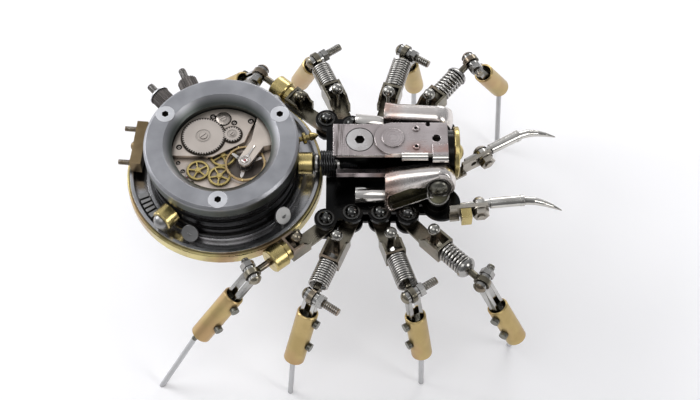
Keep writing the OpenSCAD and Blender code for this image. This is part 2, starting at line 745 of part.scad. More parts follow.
module hip_bolt() {
    translate([0, 0, upper_top + SEAT]) ring(2.7, hip_bolt_r + SEAT, 0.4);
    translate([0, 0, upper_top + 0.5]) dome(2.1, 1.9);
    translate([0, 0, chassis_z - 2.6]) cylinder(r = hip_bolt_r, h = upper_top - chassis_z + 3.2);
    translate([0, 0, chassis_z - 2 - SEAT]) hex_nut(4.6, 2, hip_bolt_r + SEAT);
    // bush that holds the plates apart above the leg's tab
    translate([0, 0, tab_z + tab_t + SIDE])
        ring(2.2, hip_bolt_r + SEAT, upper_bottom - tab_z - tab_t - SIDE - SEAT);
}

module chassis_bolts() {
    collar_x = abdomen_x + drum_r + bush_len + 3 * SEAT;
    color([0.72, 0.73, 0.74]) place() {
        both_sides() {
            at_hips() hip_bolt();
            at_lever() {
                translate([0, 0, lever_t / 2 + SEAT]) dome(3.9, 2.6);
                translate([0, 0, -lever_t / 2 - 2]) cylinder(r = lever_bolt_r, h = lever_t + 2.2);
            }
        }
        // waist bolt from the drum to the spine block, with its round collar and washer
        translate([abdomen_x + drum_r - 4, 0, rim_axis_z]) along_x()
            cylinder(r = post_screw_r, h = spine_step_x + 5 - abdomen_x - drum_r + 4);
        translate([collar_x, 0, rim_axis_z]) along_x() difference() {
            rotate_extrude() polygon([[0, 0], [2.4, 0], [2.9, 0.6], [2.9, 1.4], [2.4, 2], [0, 2]]);
            translate([0, 0, -1]) cylinder(r = post_screw_r + SEAT, h = 4);
        }
        translate([waist_washer_x, 0, rim_axis_z]) along_x()
            ring(waist_washer_r, post_screw_r + SEAT, waist_washer_t);
    }
}

module waist_springs() {
    big_from = abdomen_x + drum_r + bush_len + 2 + 5 * SEAT;
    small_from = waist_washer_x + waist_washer_t + SEAT;
    color([0.1, 0.1, 0.1]) place() translate([0, 0, rim_axis_z]) {
        translate([big_from, 0, 0]) along_x()
            open_coil(5, waist_washer_x - SEAT - big_from, waist_coil_r, waist_wire_r);
        translate([small_from, 0, 0]) along_x()
            open_coil(7, spine_step_x - SEAT - small_from, 1.85, 0.35);
    }
}

module head_plates() {
    rear_z = head_base;
    front_z = head_base + head_t;
    color([0.74, 0.72, 0.74]) place() {
        difference() {
            translate([head_rear, -head_half_w, rear_z])
                cube([boss_x + 6 - head_rear, 2 * head_half_w, head_t]);
            translate([3, 0, front_z]) countersink(m4_head_r, m4_r, head_screw_len);
        }
        difference() {
            union() {
                translate([boss_x, 0, front_z + SEAT]) cylinder(r = head_half_w, h = front_plate_t - SEAT);
                translate([boss_x, -head_half_w, front_z + SEAT])
                    cube([head_front - boss_x, 2 * head_half_w, front_plate_t - SEAT]);
                translate([boss_x + 6 + SEAT, -head_half_w, rear_z])
                    cube([head_front - boss_x - 6 - SEAT, 2 * head_half_w, head_t + 2 * SEAT]);
                translate([boss_x, 0, head_top - 0.1]) cylinder(r = 3.4, h = 0.6);
                // hinge knuckle and rolled edge on the right-hand side
                translate([15.8, -head_half_w - 0.2, head_top - 1.2]) along_x() cylinder(r = 1.3, h = 8);
                translate([25.2, -head_half_w - 0.6, head_top - 1.3]) along_x() cylinder(r = 1.5, h = 4.8);
                translate([25.2, -head_half_w - 0.6, head_top - 0.4]) cube([4.8, 4, 0.8]);
                // two rivets
                for (y = [-3.2, 3.4]) translate([20.3, y, head_top - 0.1]) dome(0.9, 0.5);
            }
            translate([26.5, 0, rear_z - 1]) cylinder(r = 1.3, h = 5);
            translate([24, head_half_w - 0.6, rear_z - 1]) cylinder(r = 0.8, h = 5);
        }
    }
}

module countersunk_screws() {
    color([0.8, 0.8, 0.82]) {
        at_abdomen() for (a = [30, 150, 270]) rotate([0, 0, a])
            translate([screw_pitch_r, 0, bezel_top]) countersunk(m3_head_r, m3_r, bezel_screw_len);
        place() translate([3, 0, head_base + head_t]) countersunk(m4_head_r, m4_r, head_screw_len);
    }
}

module lever() {
    at_lever() {
        difference() {
            translate([0, 0, -lever_t / 2]) linear_extrude(lever_t) union() {
                circle(r = lever_r);
                polygon([[0, lever_r], [-lever_len, 4.4], [-lever_len, -5.4], [0, -lever_r]]);
            }
            // trough in the outer flank
            translate([0, 0, -0.6]) linear_extrude(lever_t) polygon([
                [-4.6, -1], [-4.6, -lever_r + 1.1], [-lever_len + 1.4, -4.2], [-lever_len + 1.4, -2.6]
            ]);
            translate([0, 0, -lever_t]) cylinder(r = lever_bolt_r + SEAT, h = 2 * lever_t);
            translate([-lever_len - 1, -0.4, 0]) along_x() cylinder(r = lever_tube_r + SEAT, h = 3);
        }
        translate([-lever_len - 9.6, -0.4, 0]) along_x() ring(lever_tube_r, lever_tube_r - 0.6, 11.5);
        translate([-lever_len - 15, 3.2, 0.2]) cube([15.05, 1.6, 1.8]);
    }
}

module lever_right() { color([0.8, 0.8, 0.81]) place() lever(); }
module lever_left() { color([0.8, 0.8, 0.81]) place() mirror([0, 1, 0]) lever(); }

module face_disc() {
    color([0.78, 0.62, 0.25]) place() translate([spine_front + face_flange_t + SEAT, 0, face_z]) along_x() {
        difference() {
            rotate_extrude() polygon([
                [0, 0], [face_disc_r - 0.3, 0], [face_disc_r, 0.3], [face_disc_r, face_disc_t - 0.3],
                [face_disc_r - 0.3, face_disc_t], [0, face_disc_t]
            ]);
            translate([0, 0, -1]) cylinder(r = 1.5 + SEAT, h = 4);
        }
        translate([0, 0, -face_flange_t - 2]) cylinder(r = 1.5, h = face_flange_t + face_disc_t + 2.1);
        translate([0, 0, face_disc_t + SEAT]) dome(2.8, 1.6);
    }
}

// ------------------------------------------------------------------ fangs

module at_fang(k) {
    place() translate(fang_at[k]) rotate([0, 0, fang_yaw[k]]) children();
}

// the tip turns and droops a little more at each of its short cones
function tip_point(k, n) = [
    fang_tube + fang_tip * cos(fang_droop) * n / tip_bends,
    fang_tip * tan(fang_turn[k]) * 0.9 * pow(n / tip_bends, 1.5),
    -fang_tip * sin(fang_droop) * pow(n / tip_bends, 1.7)
];
function tip_r(n) = (fang_r - 0.35) * (1 - 0.85 * pow(n / tip_bends, 2));

module fang(k) {
    start = [fang_tube - 0.6, 0, 0];
    color([0.78, 0.78, 0.79]) at_fang(k) {
        difference() {
            union() {
                intersection() {
                    translate([-fang_tail, 0, 0]) along_x()
                        cylinder(r1 = 1, r2 = fang_r - 0.2, h = fang_tail + fang_root + 0.2);
                    translate([-fang_tail, -fang_flat / 2, -5])
                        cube([fang_tail + fang_root + 0.2, fang_flat, 10]);
                }
                along_y() translate([0, 0, -fang_flat / 2]) cylinder(r = 2.1, h = fang_flat);
                translate([fang_root, 0, 0]) along_x() cylinder(r = fang_r, h = fang_tube - fang_root);
                translate([fang_tube - 1.2, 0, 0]) along_x() cylinder(r = fang_r + 0.12, h = 1.2);
                for (n = [1:tip_bends]) {
                    rod_between(n == 1 ? start : tip_point(k, n - 1), tip_point(k, n),
                        tip_r(n - 1), tip_r(n));
                    translate(tip_point(k, n)) sphere(r = tip_r(n) * JOINT);
                }
            }
            along_y() translate([0, 0, -5]) cylinder(r = fang_bolt_r + RUN, h = 10);
        }
    }
}

module fang_mounts() {
    color([0.7, 0.66, 0.58]) for (k = [0, 1]) at_fang(k) {
        difference() {
            union() {
                translate([lug_from[k], lug_side - lug_t, lug_foot_z])
                    cube([2.4 - lug_from[k], lug_t, lug_half_h - lug_foot_z]);
                if (k == 1) translate([-12.6, lug_side - lug_t - 1, lug_foot_z]) cube([5.6, 3.2, 1]);
                if (k == 0) translate([lug_from[k], lug_side - lug_t - 1.5, lug_foot_z])
                    cube([3, lug_t + 1.5, 1]);
            }
            along_y() translate([0, 0, -9]) cylinder(r = fang_bolt_r + SEAT, h = 9);
            if (k == 1) translate([-4, 0, 0]) along_y() translate([0, 0, -9]) cylinder(r = 1, h = 9);
        }
        // bolt, dome head on the far side, nut and washer on the near side
        along_y() {
            translate([0, 0, lug_side - lug_t - 3])
                cylinder(r = fang_bolt_r, h = lug_t + 3.6 + fang_flat);
            translate([0, 0, -lug_side]) dome(k == 1 ? 2.5 : 2, 1.7);
            translate([0, 0, lug_side - lug_t - SEAT - 0.5]) ring(2.7, fang_bolt_r + SEAT, 0.5);
            translate([0, 0, lug_side - lug_t - 2 * SEAT - 2.3]) hex_nut(4.4, 1.8, fang_bolt_r + SEAT);
        }
    }
    // brass block clamped outside the right-hand lug
    color([0.76, 0.6, 0.26]) at_fang(0)
        translate([lug_from[0] + 3.3, lug_side - lug_t - SEAT - 3.4, lug_foot_z + 0.6])
            cube([3.2, 3.4, 4.6]);
}

module fang_right() { fang(0); }
module fang_left() { fang(1); }

// ------------------------------------------------------------------- legs

function leg_len(i) = norm([knee_x[i] - hip_x[i], knee_y[i] - hip_y[i]]);
function femur_yaw(i) = atan2(-(knee_y[i] - hip_y[i]), knee_x[i] - hip_x[i]);
function femur_rise(i) = atan2(knee_z[i] - femur_z, leg_len(i) - fold_at);
function femur_len(i) = norm([knee_z[i] - femur_z, leg_len(i) - fold_at]);

module at_side(side) {
    place() mirror([0, side == "left" ? 1 : 0, 0]) children();
}

module at_hip(i) {
    translate([hip_x[i], -hip_y[i], 0]) rotate([0, 0, femur_yaw(i)]) children();
}

// +X along the rod from the fold at the hip to the knee
module at_femur(i) {
    at_hip(i) translate([fold_at, 0, femur_z]) rotate([0, -femur_rise(i), 0]) children();
}

// +X outwards in the shin's plane, the knee bolt along Y
module at_knee(i) {
    translate([knee_x[i], -knee_y[i], knee_z[i]]) rotate([0, 0, shin_yaw[i]]) children();
}

module femur_channel(i) {
    length = channel_end[i] - fold_at;
    inner_w = channel_w - 2 * sheet_t;
    difference() {
        union() {
            at_hip(i) translate([0, 0, tab_z]) {
                cylinder(r = tab_half_w, h = tab_t);
                translate([0, -tab_half_w, 0]) cube([fold_at + 0.3, 2 * tab_half_w, tab_t]);
            }
            at_femur(i) difference() {
                translate([0, channel_w / 2, 0]) rotate([90, 0, 0]) linear_extrude(channel_w) polygon([
                    [0, -channel_drop], [length, -channel_drop], [length, channel_rise],
                    [2.8, channel_rise], [1.2, root_rise], [0, root_rise]
                ]);
                translate([-1, -inner_w / 2, -channel_drop + tab_t])
                    cube([length + 1 - sheet_t, inner_w, channel_drop + channel_rise]);
                along_x() cylinder(r = rod_r + SEAT, h = 2 * length);
            }
        }
        at_hip(i) translate([0, 0, tab_z - 1]) cylinder(r = hip_bolt_r + RUN, h = 4);
        at_hip(i) translate([ball_at[i], 0, tab_z - 2]) cylinder(r = 1 + SEAT, h = 20);
    }
}

module femur(side, i) {
    length = channel_end[i] - fold_at;
    rod_from = length - sheet_t - 1.8;
    bolt_dir = nut_side[i];
    color([0.62, 0.6, 0.58]) at_side(side) {
        femur_channel(i);
        // rod with a nut inside the channel and an eye at the knee
        difference() {
            union() {
                at_femur(i) translate([rod_from, 0, 0]) along_x()
                    cylinder(r = rod_r, h = femur_len(i) - eye_r + 0.1 - rod_from);
                at_knee(i) along_y() translate([0, 0, -eye_t / 2]) cylinder(r = eye_r, h = eye_t);
            }
            at_knee(i) along_y() translate([0, 0, -5]) cylinder(r = knee_bolt_r + RUN, h = 10);
        }
        at_femur(i) translate([rod_from, 0, 0]) along_x() hex_nut(4, 1.7, rod_r + SEAT);
        // ball-headed screw up through the channel's floor
        at_hip(i) translate([ball_at[i], 0, 0]) {
            translate([0, 0, tab_z]) cylinder(r = 1, h = ball_z[i] - tab_z);
            translate([0, 0, ball_z[i]]) sphere(r = 1.9);
        }
        // knee bolt, its head on one side and its nut and thread on the other
        at_knee(i) mirror([0, bolt_dir > 0 ? 0 : 1, 0]) along_y() {
            translate([0, 0, -fork_half_w - 0.2])
                cylinder(r = knee_bolt_r, h = fork_half_w + 0.2 + thread_out[i]);
            translate([0, 0, -fork_half_w - SIDE]) rotate([180, 0, 0]) dome(2.1, 1.3);
            translate([0, 0, fork_half_w + SIDE]) hex_nut(4, 1.8, knee_bolt_r + SEAT);
        }
    }
}

module leg_spring(side, i) {
    seat = channel_end[i] - fold_at + SEAT;
    if (i == 0) color([0.8, 0.64, 0.27]) at_side(side) at_femur(i) {
        translate([seat, 0, 0]) along_x() ring(3.2, rod_r + SEAT, 1.6);
        translate([seat + 1.6 + SEAT, 0, 0]) along_x() difference() {
            rotate_extrude() polygon([
                [0, 0], [roller_r - 0.4, 0], [roller_r, 0.4], [roller_r, spring_len[i] - 0.4],
                [roller_r - 0.4, spring_len[i]], [0, spring_len[i]]
            ]);
            translate([0, 0, -1]) cylinder(r = rod_r + SEAT, h = spring_len[i] + 2);
        }
    }
    if (i == 1 || i == 2) color([0.5, 0.5, 0.5]) at_side(side) at_femur(i)
        translate([seat, 0, 0]) along_x() close_coil(spring_len[i], spring_r, spring_wire_r);
    if (i == 3) color([0.5, 0.5, 0.5]) at_side(side) at_femur(i) {
        translate([seat, 0, 0]) along_x() open_coil(open_turns, spring_len[i], spring_r - 0.1, open_wire_r);
        // domed cap that the spring bears on
        translate([seat + spring_len[i] + SEAT, 0, 0]) along_x() difference() {
            dome(3.5, 2.4);
            translate([0, 0, -1]) cylinder(r = rod_r + SEAT, h = 5);
        }
    }
}

// a point of the shin at s along its axis and x in front of it, in the knee's frame
function shin_point(i, x, s) = [
    x * cos(shin_tilt[i]) + s * sin(shin_tilt[i]), 0, x * sin(shin_tilt[i]) - s * cos(shin_tilt[i])
];

module at_shin(i) { at_knee(i) rotate([0, -shin_tilt[i], 0]) children(); }

module foot_wire(i) {
    top = shin_point(i, wire_shift[i], sleeve_start[i] + 6.2);
    bend = shin_point(i, wire_shift[i], sleeve_start[i] + sleeve_len[i] + 2);
    toe = [foot_out[i], foot_side[i], -knee_z[i]];
    toe_end = toe + (toe - bend) * 0.08;
    rod_between(top, bend, foot_wire_r, foot_wire_r);
    translate(bend) sphere(r = foot_wire_r * 1.04);
    difference() {
        rod_between(bend, toe_end, foot_wire_r, foot_wire_r);
        translate(toe + [-6, -6, -6]) cube([12, 12, 6]);
    }
}

module shin(side, i) {
    link_len = sleeve_start[i] + 6;
    fork_len = sleeve_start[i] + 1.5;
    color([0.7, 0.7, 0.7]) at_side(side) {
        at_shin(i) difference() {
            union() {
                translate([-fork_bar, -fork_half_w, -link_len])
                    cube([2 * fork_bar, 2 * fork_half_w, link_len]);
                along_y() translate([0, 0, -fork_half_w]) cylinder(r = fork_end_r, h = 2 * fork_half_w);
            }
            translate([-5, -fork_gap / 2, -fork_len]) cube([10, fork_gap, fork_len + 5]);
            along_y() translate([0, 0, -5]) cylinder(r = knee_bolt_r + RUN, h = 10);
        }
        at_knee(i) foot_wire(i);
        // set screws in the side of the sleeve
        at_shin(i) mirror([0, set_screw_side[i] > 0 ? 0 : 1, 0]) for (s = [3, sleeve_len[i] * 0.62])
            translate([0, 0, -sleeve_start[i] - s]) along_y() {
                translate([0, 0, s == 3 ? fork_half_w + SEAT : foot_wire_r + 0.4])
                    cylinder(r = set_screw_r, h = sleeve_r - (s == 3 ? fork_half_w : foot_wire_r));
                translate([0, 0, sleeve_r + SEAT]) cylinder(r = 1.35, h = 1.2);
            }
    }
}

module sleeve(side, i) {
    cut = 0.35;
    color([0.74, 0.6, 0.34]) at_side(side) at_shin(i)
        mirror([0, set_screw_side[i] > 0 ? 0 : 1, 0]) difference() {
        translate([0, 0, -sleeve_start[i] - sleeve_len[i]]) rotate_extrude() polygon([
            [sleeve_bore_r, 0], [sleeve_r - cut, 0], [sleeve_r, cut], [sleeve_r, sleeve_len[i] - cut],
            [sleeve_r - cut, sleeve_len[i]], [sleeve_bore_r, sleeve_len[i]]
        ]);
        for (s = [3, sleeve_len[i] * 0.62]) translate([0, 0, -sleeve_start[i] - s]) along_y()
            cylinder(r = set_screw_r + SEAT, h = 10);
    }
}

// ----------------------------------------------------------------- output

bezel();
drum();
carrier_ring();
brass_rim();
rim_bushes();
rim_screws();
crown_knobs();
rear_bar();
main_plate();
bridges();
ratchet_wheel();
crown_wheel();
centre_wheel();
third_wheel();
fourth_wheel();
balance_wheel();
chassis();
spine_block();
chassis_bolts();
waist_springs();
head_plates();
countersunk_screws();
lever_right();
lever_left();
face_disc();
fang_mounts();
fang_right();
fang_left();
for (side = ["right", "left"]) for (i = LEGS) {
    femur(side, i);
    leg_spring(side, i);
    shin(side, i);
    sleeve(side, i);
}
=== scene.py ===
"""Looks of the mechanical spider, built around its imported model.

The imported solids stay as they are. This script gives each its finish, and adds
what is too fine for them: wound springs, threads, jewels, small screws and the
curved castings of the two levers, some of them in the place of a plain solid.
"""
import json
import math

import bmesh
import bpy
from mathutils import Matrix, Vector


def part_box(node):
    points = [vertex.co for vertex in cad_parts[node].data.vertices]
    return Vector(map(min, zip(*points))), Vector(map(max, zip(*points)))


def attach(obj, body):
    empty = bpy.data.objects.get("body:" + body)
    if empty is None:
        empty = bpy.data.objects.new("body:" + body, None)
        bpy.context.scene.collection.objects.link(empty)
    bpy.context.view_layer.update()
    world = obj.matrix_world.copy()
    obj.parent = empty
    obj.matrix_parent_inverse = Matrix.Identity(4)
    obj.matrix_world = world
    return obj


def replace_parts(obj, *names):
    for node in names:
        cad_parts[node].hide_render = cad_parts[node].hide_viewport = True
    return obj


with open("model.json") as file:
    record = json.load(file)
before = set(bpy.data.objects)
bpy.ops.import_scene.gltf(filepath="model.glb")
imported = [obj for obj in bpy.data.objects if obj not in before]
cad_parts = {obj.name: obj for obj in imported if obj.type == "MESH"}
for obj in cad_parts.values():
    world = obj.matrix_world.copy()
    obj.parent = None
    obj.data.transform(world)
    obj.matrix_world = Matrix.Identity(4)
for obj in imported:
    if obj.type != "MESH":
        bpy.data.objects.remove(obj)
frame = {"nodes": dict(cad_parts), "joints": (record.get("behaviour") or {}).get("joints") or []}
scene = bpy.context.scene
nodes = frame["nodes"]
joints = {joint["name"]: joint for joint in frame["joints"]}
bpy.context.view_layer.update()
MM = 0.001

# ---------------------------------------------------------------- the view
# The spider stands on a white table and is seen from its right, well above
# it, through a longish lens.
LOOK_AT = Vector((3.46, -6.7, 40)) * MM
VIEW_HEIGHT = math.radians(59.5)
VIEW_DISTANCE = 448 * MM
LENS = 72
SENSOR_WIDTH = 36

camera = bpy.data.objects.new("camera", bpy.data.cameras.new("camera"))
camera.data.lens = LENS
camera.data.sensor_width = SENSOR_WIDTH
camera.data.clip_start = 0.01
camera.location = LOOK_AT + VIEW_DISTANCE * Vector((0, -math.cos(VIEW_HEIGHT), math.sin(VIEW_HEIGHT)))
camera.rotation_euler = (math.pi / 2 - VIEW_HEIGHT, 0, 0)
scene.collection.objects.link(camera)
scene.camera = camera
scene.view_settings.view_transform = "Standard"


# ---------------------------------------------------------------- shaders
# Every finish is a small tree of shader nodes. A Wire is one socket of such
# a tree, on which sums are written as they are on numbers.
class Wire:
    """A value in a shader, with the usual signs for sums."""

    def __init__(self, finish, socket):
        self.finish = finish
        self.socket = socket

    def math(self, operation, *others, clamp=False):
        """This value and the others put through one operation."""
        values = dict(enumerate((self,) + others))
        return self.finish.node("ShaderNodeMath", {"operation": operation, "use_clamp": clamp}, values)

    def swapped(self, operation, other):
        """The same with the other value first."""
        values = {0: other, 1: self}
        return self.finish.node("ShaderNodeMath", {"operation": operation}, values)

    def __add__(self, other):
        return self.math("ADD", other)

    def __sub__(self, other):
        return self.math("SUBTRACT", other)

    def __mul__(self, other):
        return self.math("MULTIPLY", other)

    def __truediv__(self, other):
        return self.math("DIVIDE", other)

    def __rsub__(self, other):
        return self.swapped("SUBTRACT", other)

    __radd__ = __add__
    __rmul__ = __mul__

    def clipped(self):
        """The value held between 0 and 1."""
        return self.math("ADD", 0, clamp=True)

    def step(self, start, end):
        """0 below start, 1 above end and a straight ramp between them."""
        return ((self - start) / (end - start)).clipped()


class Finish:
    """A material or a world in the making, with one way to add a node of any kind."""

    def __init__(self, owner):
        self.owner = owner
        owner.use_nodes = True
        self.tree = owner.node_tree
        self.tree.nodes.clear()

    def node(self, kind, settings=None, values=None, output=0):
        """Adds a node with its settings and inputs, and returns one of its outputs."""
        made = self.tree.nodes.new(kind)
        for name, value in (settings or {}).items():
            setattr(made, name, value)
        for name, value in (values or {}).items():
            if isinstance(value, Wire):
                self.tree.links.new(value.socket, made.inputs[name])
            else:
                made.inputs[name].default_value = value
        return Wire(self, made.outputs[output] if made.outputs else None)

    def place(self):
        """The place on the piece, in its own frame."""
        return self.node("ShaderNodeTexCoord", output="Object")

    def along(self, axis, vector=None):
        """One coordinate, X, Y or Z, of a vector or of the place on the piece."""
        return self.node("ShaderNodeSeparateXYZ", values={0: vector or self.place()}, output=axis)

    def off_axis(self, point):
        """How far a place lies from the upright line through a point."""
        aside = self.node("ShaderNodeVectorMath", {"operation": "MULTIPLY"}, {0: self.place(), 1: (1, 1, 0)})
        ends = {0: aside, 1: (point.x, point.y, 0)}
        return self.node("ShaderNodeVectorMath", {"operation": "DISTANCE"}, ends, output="Value")

    def stretched(self, scale):
        """The place, scaled along each axis, so that a cloud drawn on it turns into streaks."""
        return self.node("ShaderNodeMapping", values={"Vector": self.place(), "Scale": scale})

    def cloud(self, scale, detail, vector=None):
        """Soft noise."""
        values = {"Vector": vector or self.place(), "Scale": scale, "Detail": detail}
        return self.node("ShaderNodeTexNoise", values=values)

    def between(self, factor, first, second):
        """Mixed colour: the first where the factor is 0, the second where it is 1."""
        first, second = (c if isinstance(c, Wire) else (*c, 1) for c in (first, second))
        return self.node("ShaderNodeMix", {"data_type": "RGBA"}, {0: factor, 6: first, 7: second}, output=2)

    def rounded(self, radius):
        """Normals that turn softly over each edge."""
        return self.node("ShaderNodeBevel", {"samples": 4}, {"Radius": radius})

    def edges(self, rounded, gain):
        """Near 1 on sharp edges, 0 on flat faces."""
        normals = {0: rounded, 1: self.node("ShaderNodeNewGeometry", output="Normal")}
        agreement = self.node("ShaderNodeVectorMath", {"operation": "DOT_PRODUCT"}, normals, output="Value")
        return ((1 - agreement) * gain).clipped()

    def hollows(self, reach):
        """Near 1 deep in corners, 0 in the open."""
        return 1 - self.node("ShaderNodeAmbientOcclusion", {"samples": 4}, {"Distance": reach}, output="AO")

    def surface(self, **values):
        """Ends a material with its one surface shader."""
        values = {name.replace("_", " "): value for name, value in values.items()}
        shader = self.node("ShaderNodeBsdfPrincipled", values=values)
        self.node("ShaderNodeOutputMaterial", values={"Surface": shader})
        return self.owner


# ---------------------------------------------------------------- the table
# White sheet in a white room that is darker on the side of the lens. Soft
# boxes light it, and bare metal mirrors all of it.
TABLE_TONE = (0.93, 0.92, 0.93)
TABLE_RADIUS = 1.6
TABLE_DROP = 0.0001
TABLE_GLOW = 0.09

floor_mesh = bmesh.new()
bmesh.ops.create_circle(floor_mesh, cap_ends=True, segments=96, radius=TABLE_RADIUS)
table = bpy.data.objects.new("table", bpy.data.meshes.new("table"))
floor_mesh.to_mesh(table.data)
floor_mesh.free()
table.location.z = -TABLE_DROP
scene.collection.objects.link(table)
sheet = Finish(bpy.data.materials.new("white_sheet"))
ray = [sheet.node("ShaderNodeLightPath", output=kind) for kind in
       ("Is Camera Ray", "Is Glossy Ray", "Is Transmission Ray")]
seen_glow = (ray[0] + ray[1] + ray[2]).clipped() * TABLE_GLOW
table.data.materials.append(sheet.surface(
    Base_Color=(*TABLE_TONE, 1), Roughness=0.6, Emission_Color=seen_glow, Emission_Strength=1))


def soft_box(name, place, width, depth, power, tone=(1, 1, 1)):
    """A flat lamp that faces the spider, with its power in watts."""
    lamp = bpy.data.lights.new(name, "AREA")
    lamp.shape = "RECTANGLE"
    lamp.size = width
    lamp.size_y = depth
    lamp.energy = power
    lamp.color = tone
    box = bpy.data.objects.new(name, lamp)
    box.location = place
    box.rotation_euler = (LOOK_AT - Vector(place)).to_track_quat("-Z", "Y").to_euler()
    scene.collection.objects.link(box)


soft_box("window_left", (-0.75, 0.35, 0.5), 0.5, 0.5, 5, (0.97, 0.98, 1))
soft_box("box_behind", (0.3, 0.85, 0.4), 0.6, 0.3, 2.7)
soft_box("box_above", (-0.15, -0.35, 0.85), 0.6, 0.45, 1.6)
soft_box("box_right", (0.7, -0.35, 0.45), 0.25, 0.4, 1.5)

room = Finish(bpy.data.worlds.new("room"))
heading = room.node("ShaderNodeTexCoord", output="Generated")
behind = room.along("Y", heading).step(-0.45, 0.6)
leftwards = room.along("X", heading).step(0.7, -0.8)
upwards = room.along("Z", heading).step(0.3, 0.95)
glow = 0.1 + behind * 0.4 + leftwards * 0.26 + upwards * 0.1
sky = room.node("ShaderNodeBackground", values={"Color": (0.95, 0.965, 1, 1), "Strength": glow})
room.node("ShaderNodeOutputWorld", values={"Surface": sky})
scene.world = room.owner


# ---------------------------------------------------------------- metals
# All the parts are metal, cut, turned or bent, then handled: bright on the edges,
# with the marks of the tool that made them, and dull and darker in the hollows, as grime and as painted
# shade.
def metal(name, bright, dull, rough, grain=0.3, marks=(2600, 2600, 2600), worn=0.5, grime_and_shade=0.6,
          grime_and_shade_tone=(0.03, 0.025, 0.02), edge=0.00018, paint=0.0, tint=None, stains_and_shade=()):
    """Bright and dull are the two tones of the metal, and rough the range of its gloss.

    The stain list holds pairs: a function of the finish that tells where it lies, and its tone; some are real
    stains and some painted shade.
    """
    finish = Finish(bpy.data.materials.new(name))
    patches = finish.cloud(140, 4).step(0.38, 0.66)
    specks = finish.cloud(1600, 2)
    lines = finish.cloud(1, 2, finish.stretched(marks))
    rounded = finish.rounded(edge)
    edges = finish.edges(rounded, 7) * specks.step(0.35, 0.6) * worn
    # The hollows, found by ambient occlusion, are painted darker: partly grime, partly painted shade.
    hollows = (finish.hollows(0.0016) * 1.5).clipped() * grime_and_shade
    tone = finish.between(patches * 0.7 + lines * 0.3, dull, bright)
    if tint:
        tone = finish.between(finish.cloud(75, 2).step(0.5, 0.64) * 0.8, tone, tint)
    for where, stain_and_shade_tone in stains_and_shade:
        tone = finish.between(where(finish), tone, stain_and_shade_tone)
    tone = finish.between(hollows, tone, grime_and_shade_tone)
    tone = finish.between(edges, tone, tuple(min(1, c * 1.25 + 0.08) for c in bright))
    gloss = rough[0] + (rough[1] - rough[0]) * (patches * 0.5 + lines * 0.5) + hollows * 0.25 - edges * 0.08
    relief = finish.node("ShaderNodeBump", values={
        "Height": lines * 0.7 + specks * 0.3, "Strength": grain, "Distance": 0.00006, "Normal": rounded})
    return finish.surface(Base_Color=tone, Metallic=1 - paint, Roughness=gloss.clipped(), Normal=relief)


def dress(node, *materials):
    """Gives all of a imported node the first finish, makes the others ready, and returns its mesh."""
    mesh = nodes[node].data
    mesh.materials.clear()
    for material in materials:
        mesh.materials.append(material)
    mesh.polygons.foreach_set("material_index", [0] * len(mesh.polygons))
    return mesh


def islands(mesh):
    """The separate shells of a mesh, each as its faces and its lowest and highest corner."""
    spots = {}
    parent = list(range(len(mesh.vertices)))

    def root(index):
        while parent[index] != index:
            parent[index] = parent[parent[index]]
            index = parent[index]
        return index

    for vertex in mesh.vertices:
        key = tuple(round(c * 1e7) for c in vertex.co)
        parent[vertex.index] = root(spots.setdefault(key, vertex.index))
    for polygon in mesh.polygons:
        for index in polygon.vertices[1:]:
            parent[root(index)] = root(polygon.vertices[0])
    shells = {}
    for polygon in mesh.polygons:
        shells.setdefault(root(polygon.vertices[0]), []).append(polygon)
    found = []
    for faces in shells.values():
        corners = [mesh.vertices[i].co for face in faces for i in face.vertices]
        lowest = Vector([min(c[k] for c in corners) for k in range(3)])
        highest = Vector([max(c[k] for c in corners) for k in range(3)])
        found.append((faces, lowest, highest))
    return found


def dress_shells(node, choose, *materials):
    """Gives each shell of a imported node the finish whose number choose() returns for its corners."""
    mesh = dress(node, *materials)
    for faces, lowest, highest in islands(mesh):
        number = choose(lowest, highest)
        for face in faces:
            face.material_index = number


def dress_faces(node, choose, *materials):
    """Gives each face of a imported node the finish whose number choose() returns for its centre."""
    for face in dress(node, *materials).polygons:
        face.material_index = choose(face.center)


# ------------------------------------------------------------- fine pieces
# What the solids leave out is turned, cut from sheet, or wound from wire, so
# each of those has its own small tool.
ABDOMEN = (Vector(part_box("drum")[0]) + Vector(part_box("drum")[1])) / 2
ABDOMEN.z = 0
THORAX_X = joints["right2_hip"]["pos_m"][0] - 0.5 * MM
RIM_HEIGHT = 51.5 * MM
KNOB_HEIGHT = 54 * MM


def piece(name, material, body, mesh, smooth_under=50):
    """A finished mesh as a piece of the spider that rides on a body."""
    data = bpy.data.meshes.new(name)
    bmesh.ops.recalc_face_normals(mesh, faces=mesh.faces)
    mesh.to_mesh(data)
    mesh.free()
    data.materials.append(material)
    data.shade_smooth()
    data.set_sharp_from_angle(angle=math.radians(smooth_under))
    made = bpy.data.objects.new(name, data)
    scene.collection.objects.link(made)
    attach(made, body)
    return made


def along(origin, direction):
    """Turns a shape drawn up the Z axis from zero so that it starts at origin and runs along direction."""
    turn = Vector(direction).to_track_quat("Z", "Y").to_matrix().to_4x4()
    return Matrix.Translation(origin) @ turn


def heading_at(angle):
    """The level direction at an angle in degrees."""
    return Vector((math.cos(math.radians(angle)), math.sin(math.radians(angle)), 0))


def radial(angle, height):
    """Along a radius of the abdomen, at an angle and a height."""
    return along(ABDOMEN + Vector((0, 0, height)), heading_at(angle))


def reach(node, origin, direction, radius):
    """First and last point along an axis of the part of a node that lies within a radius of it."""
    steps = []
    for vertex in nodes[node].data.vertices:
        offset = vertex.co - origin
        step = offset.dot(direction)
        if (offset - step * direction).length < radius:
            steps.append(step)
    return min(steps), max(steps)


def round_the_turn(sides):
    """Even angles round a circle."""
    return [2 * math.pi * k / sides for k in range(sides)]


def ring_of(mesh, place, radius, height, sides):
    """A row of points round the axis of a turned shape."""
    spots = [(radius * math.cos(a), radius * math.sin(a), height) for a in round_the_turn(sides)]
    return [mesh.verts.new(place @ Vector(spot)) for spot in spots]


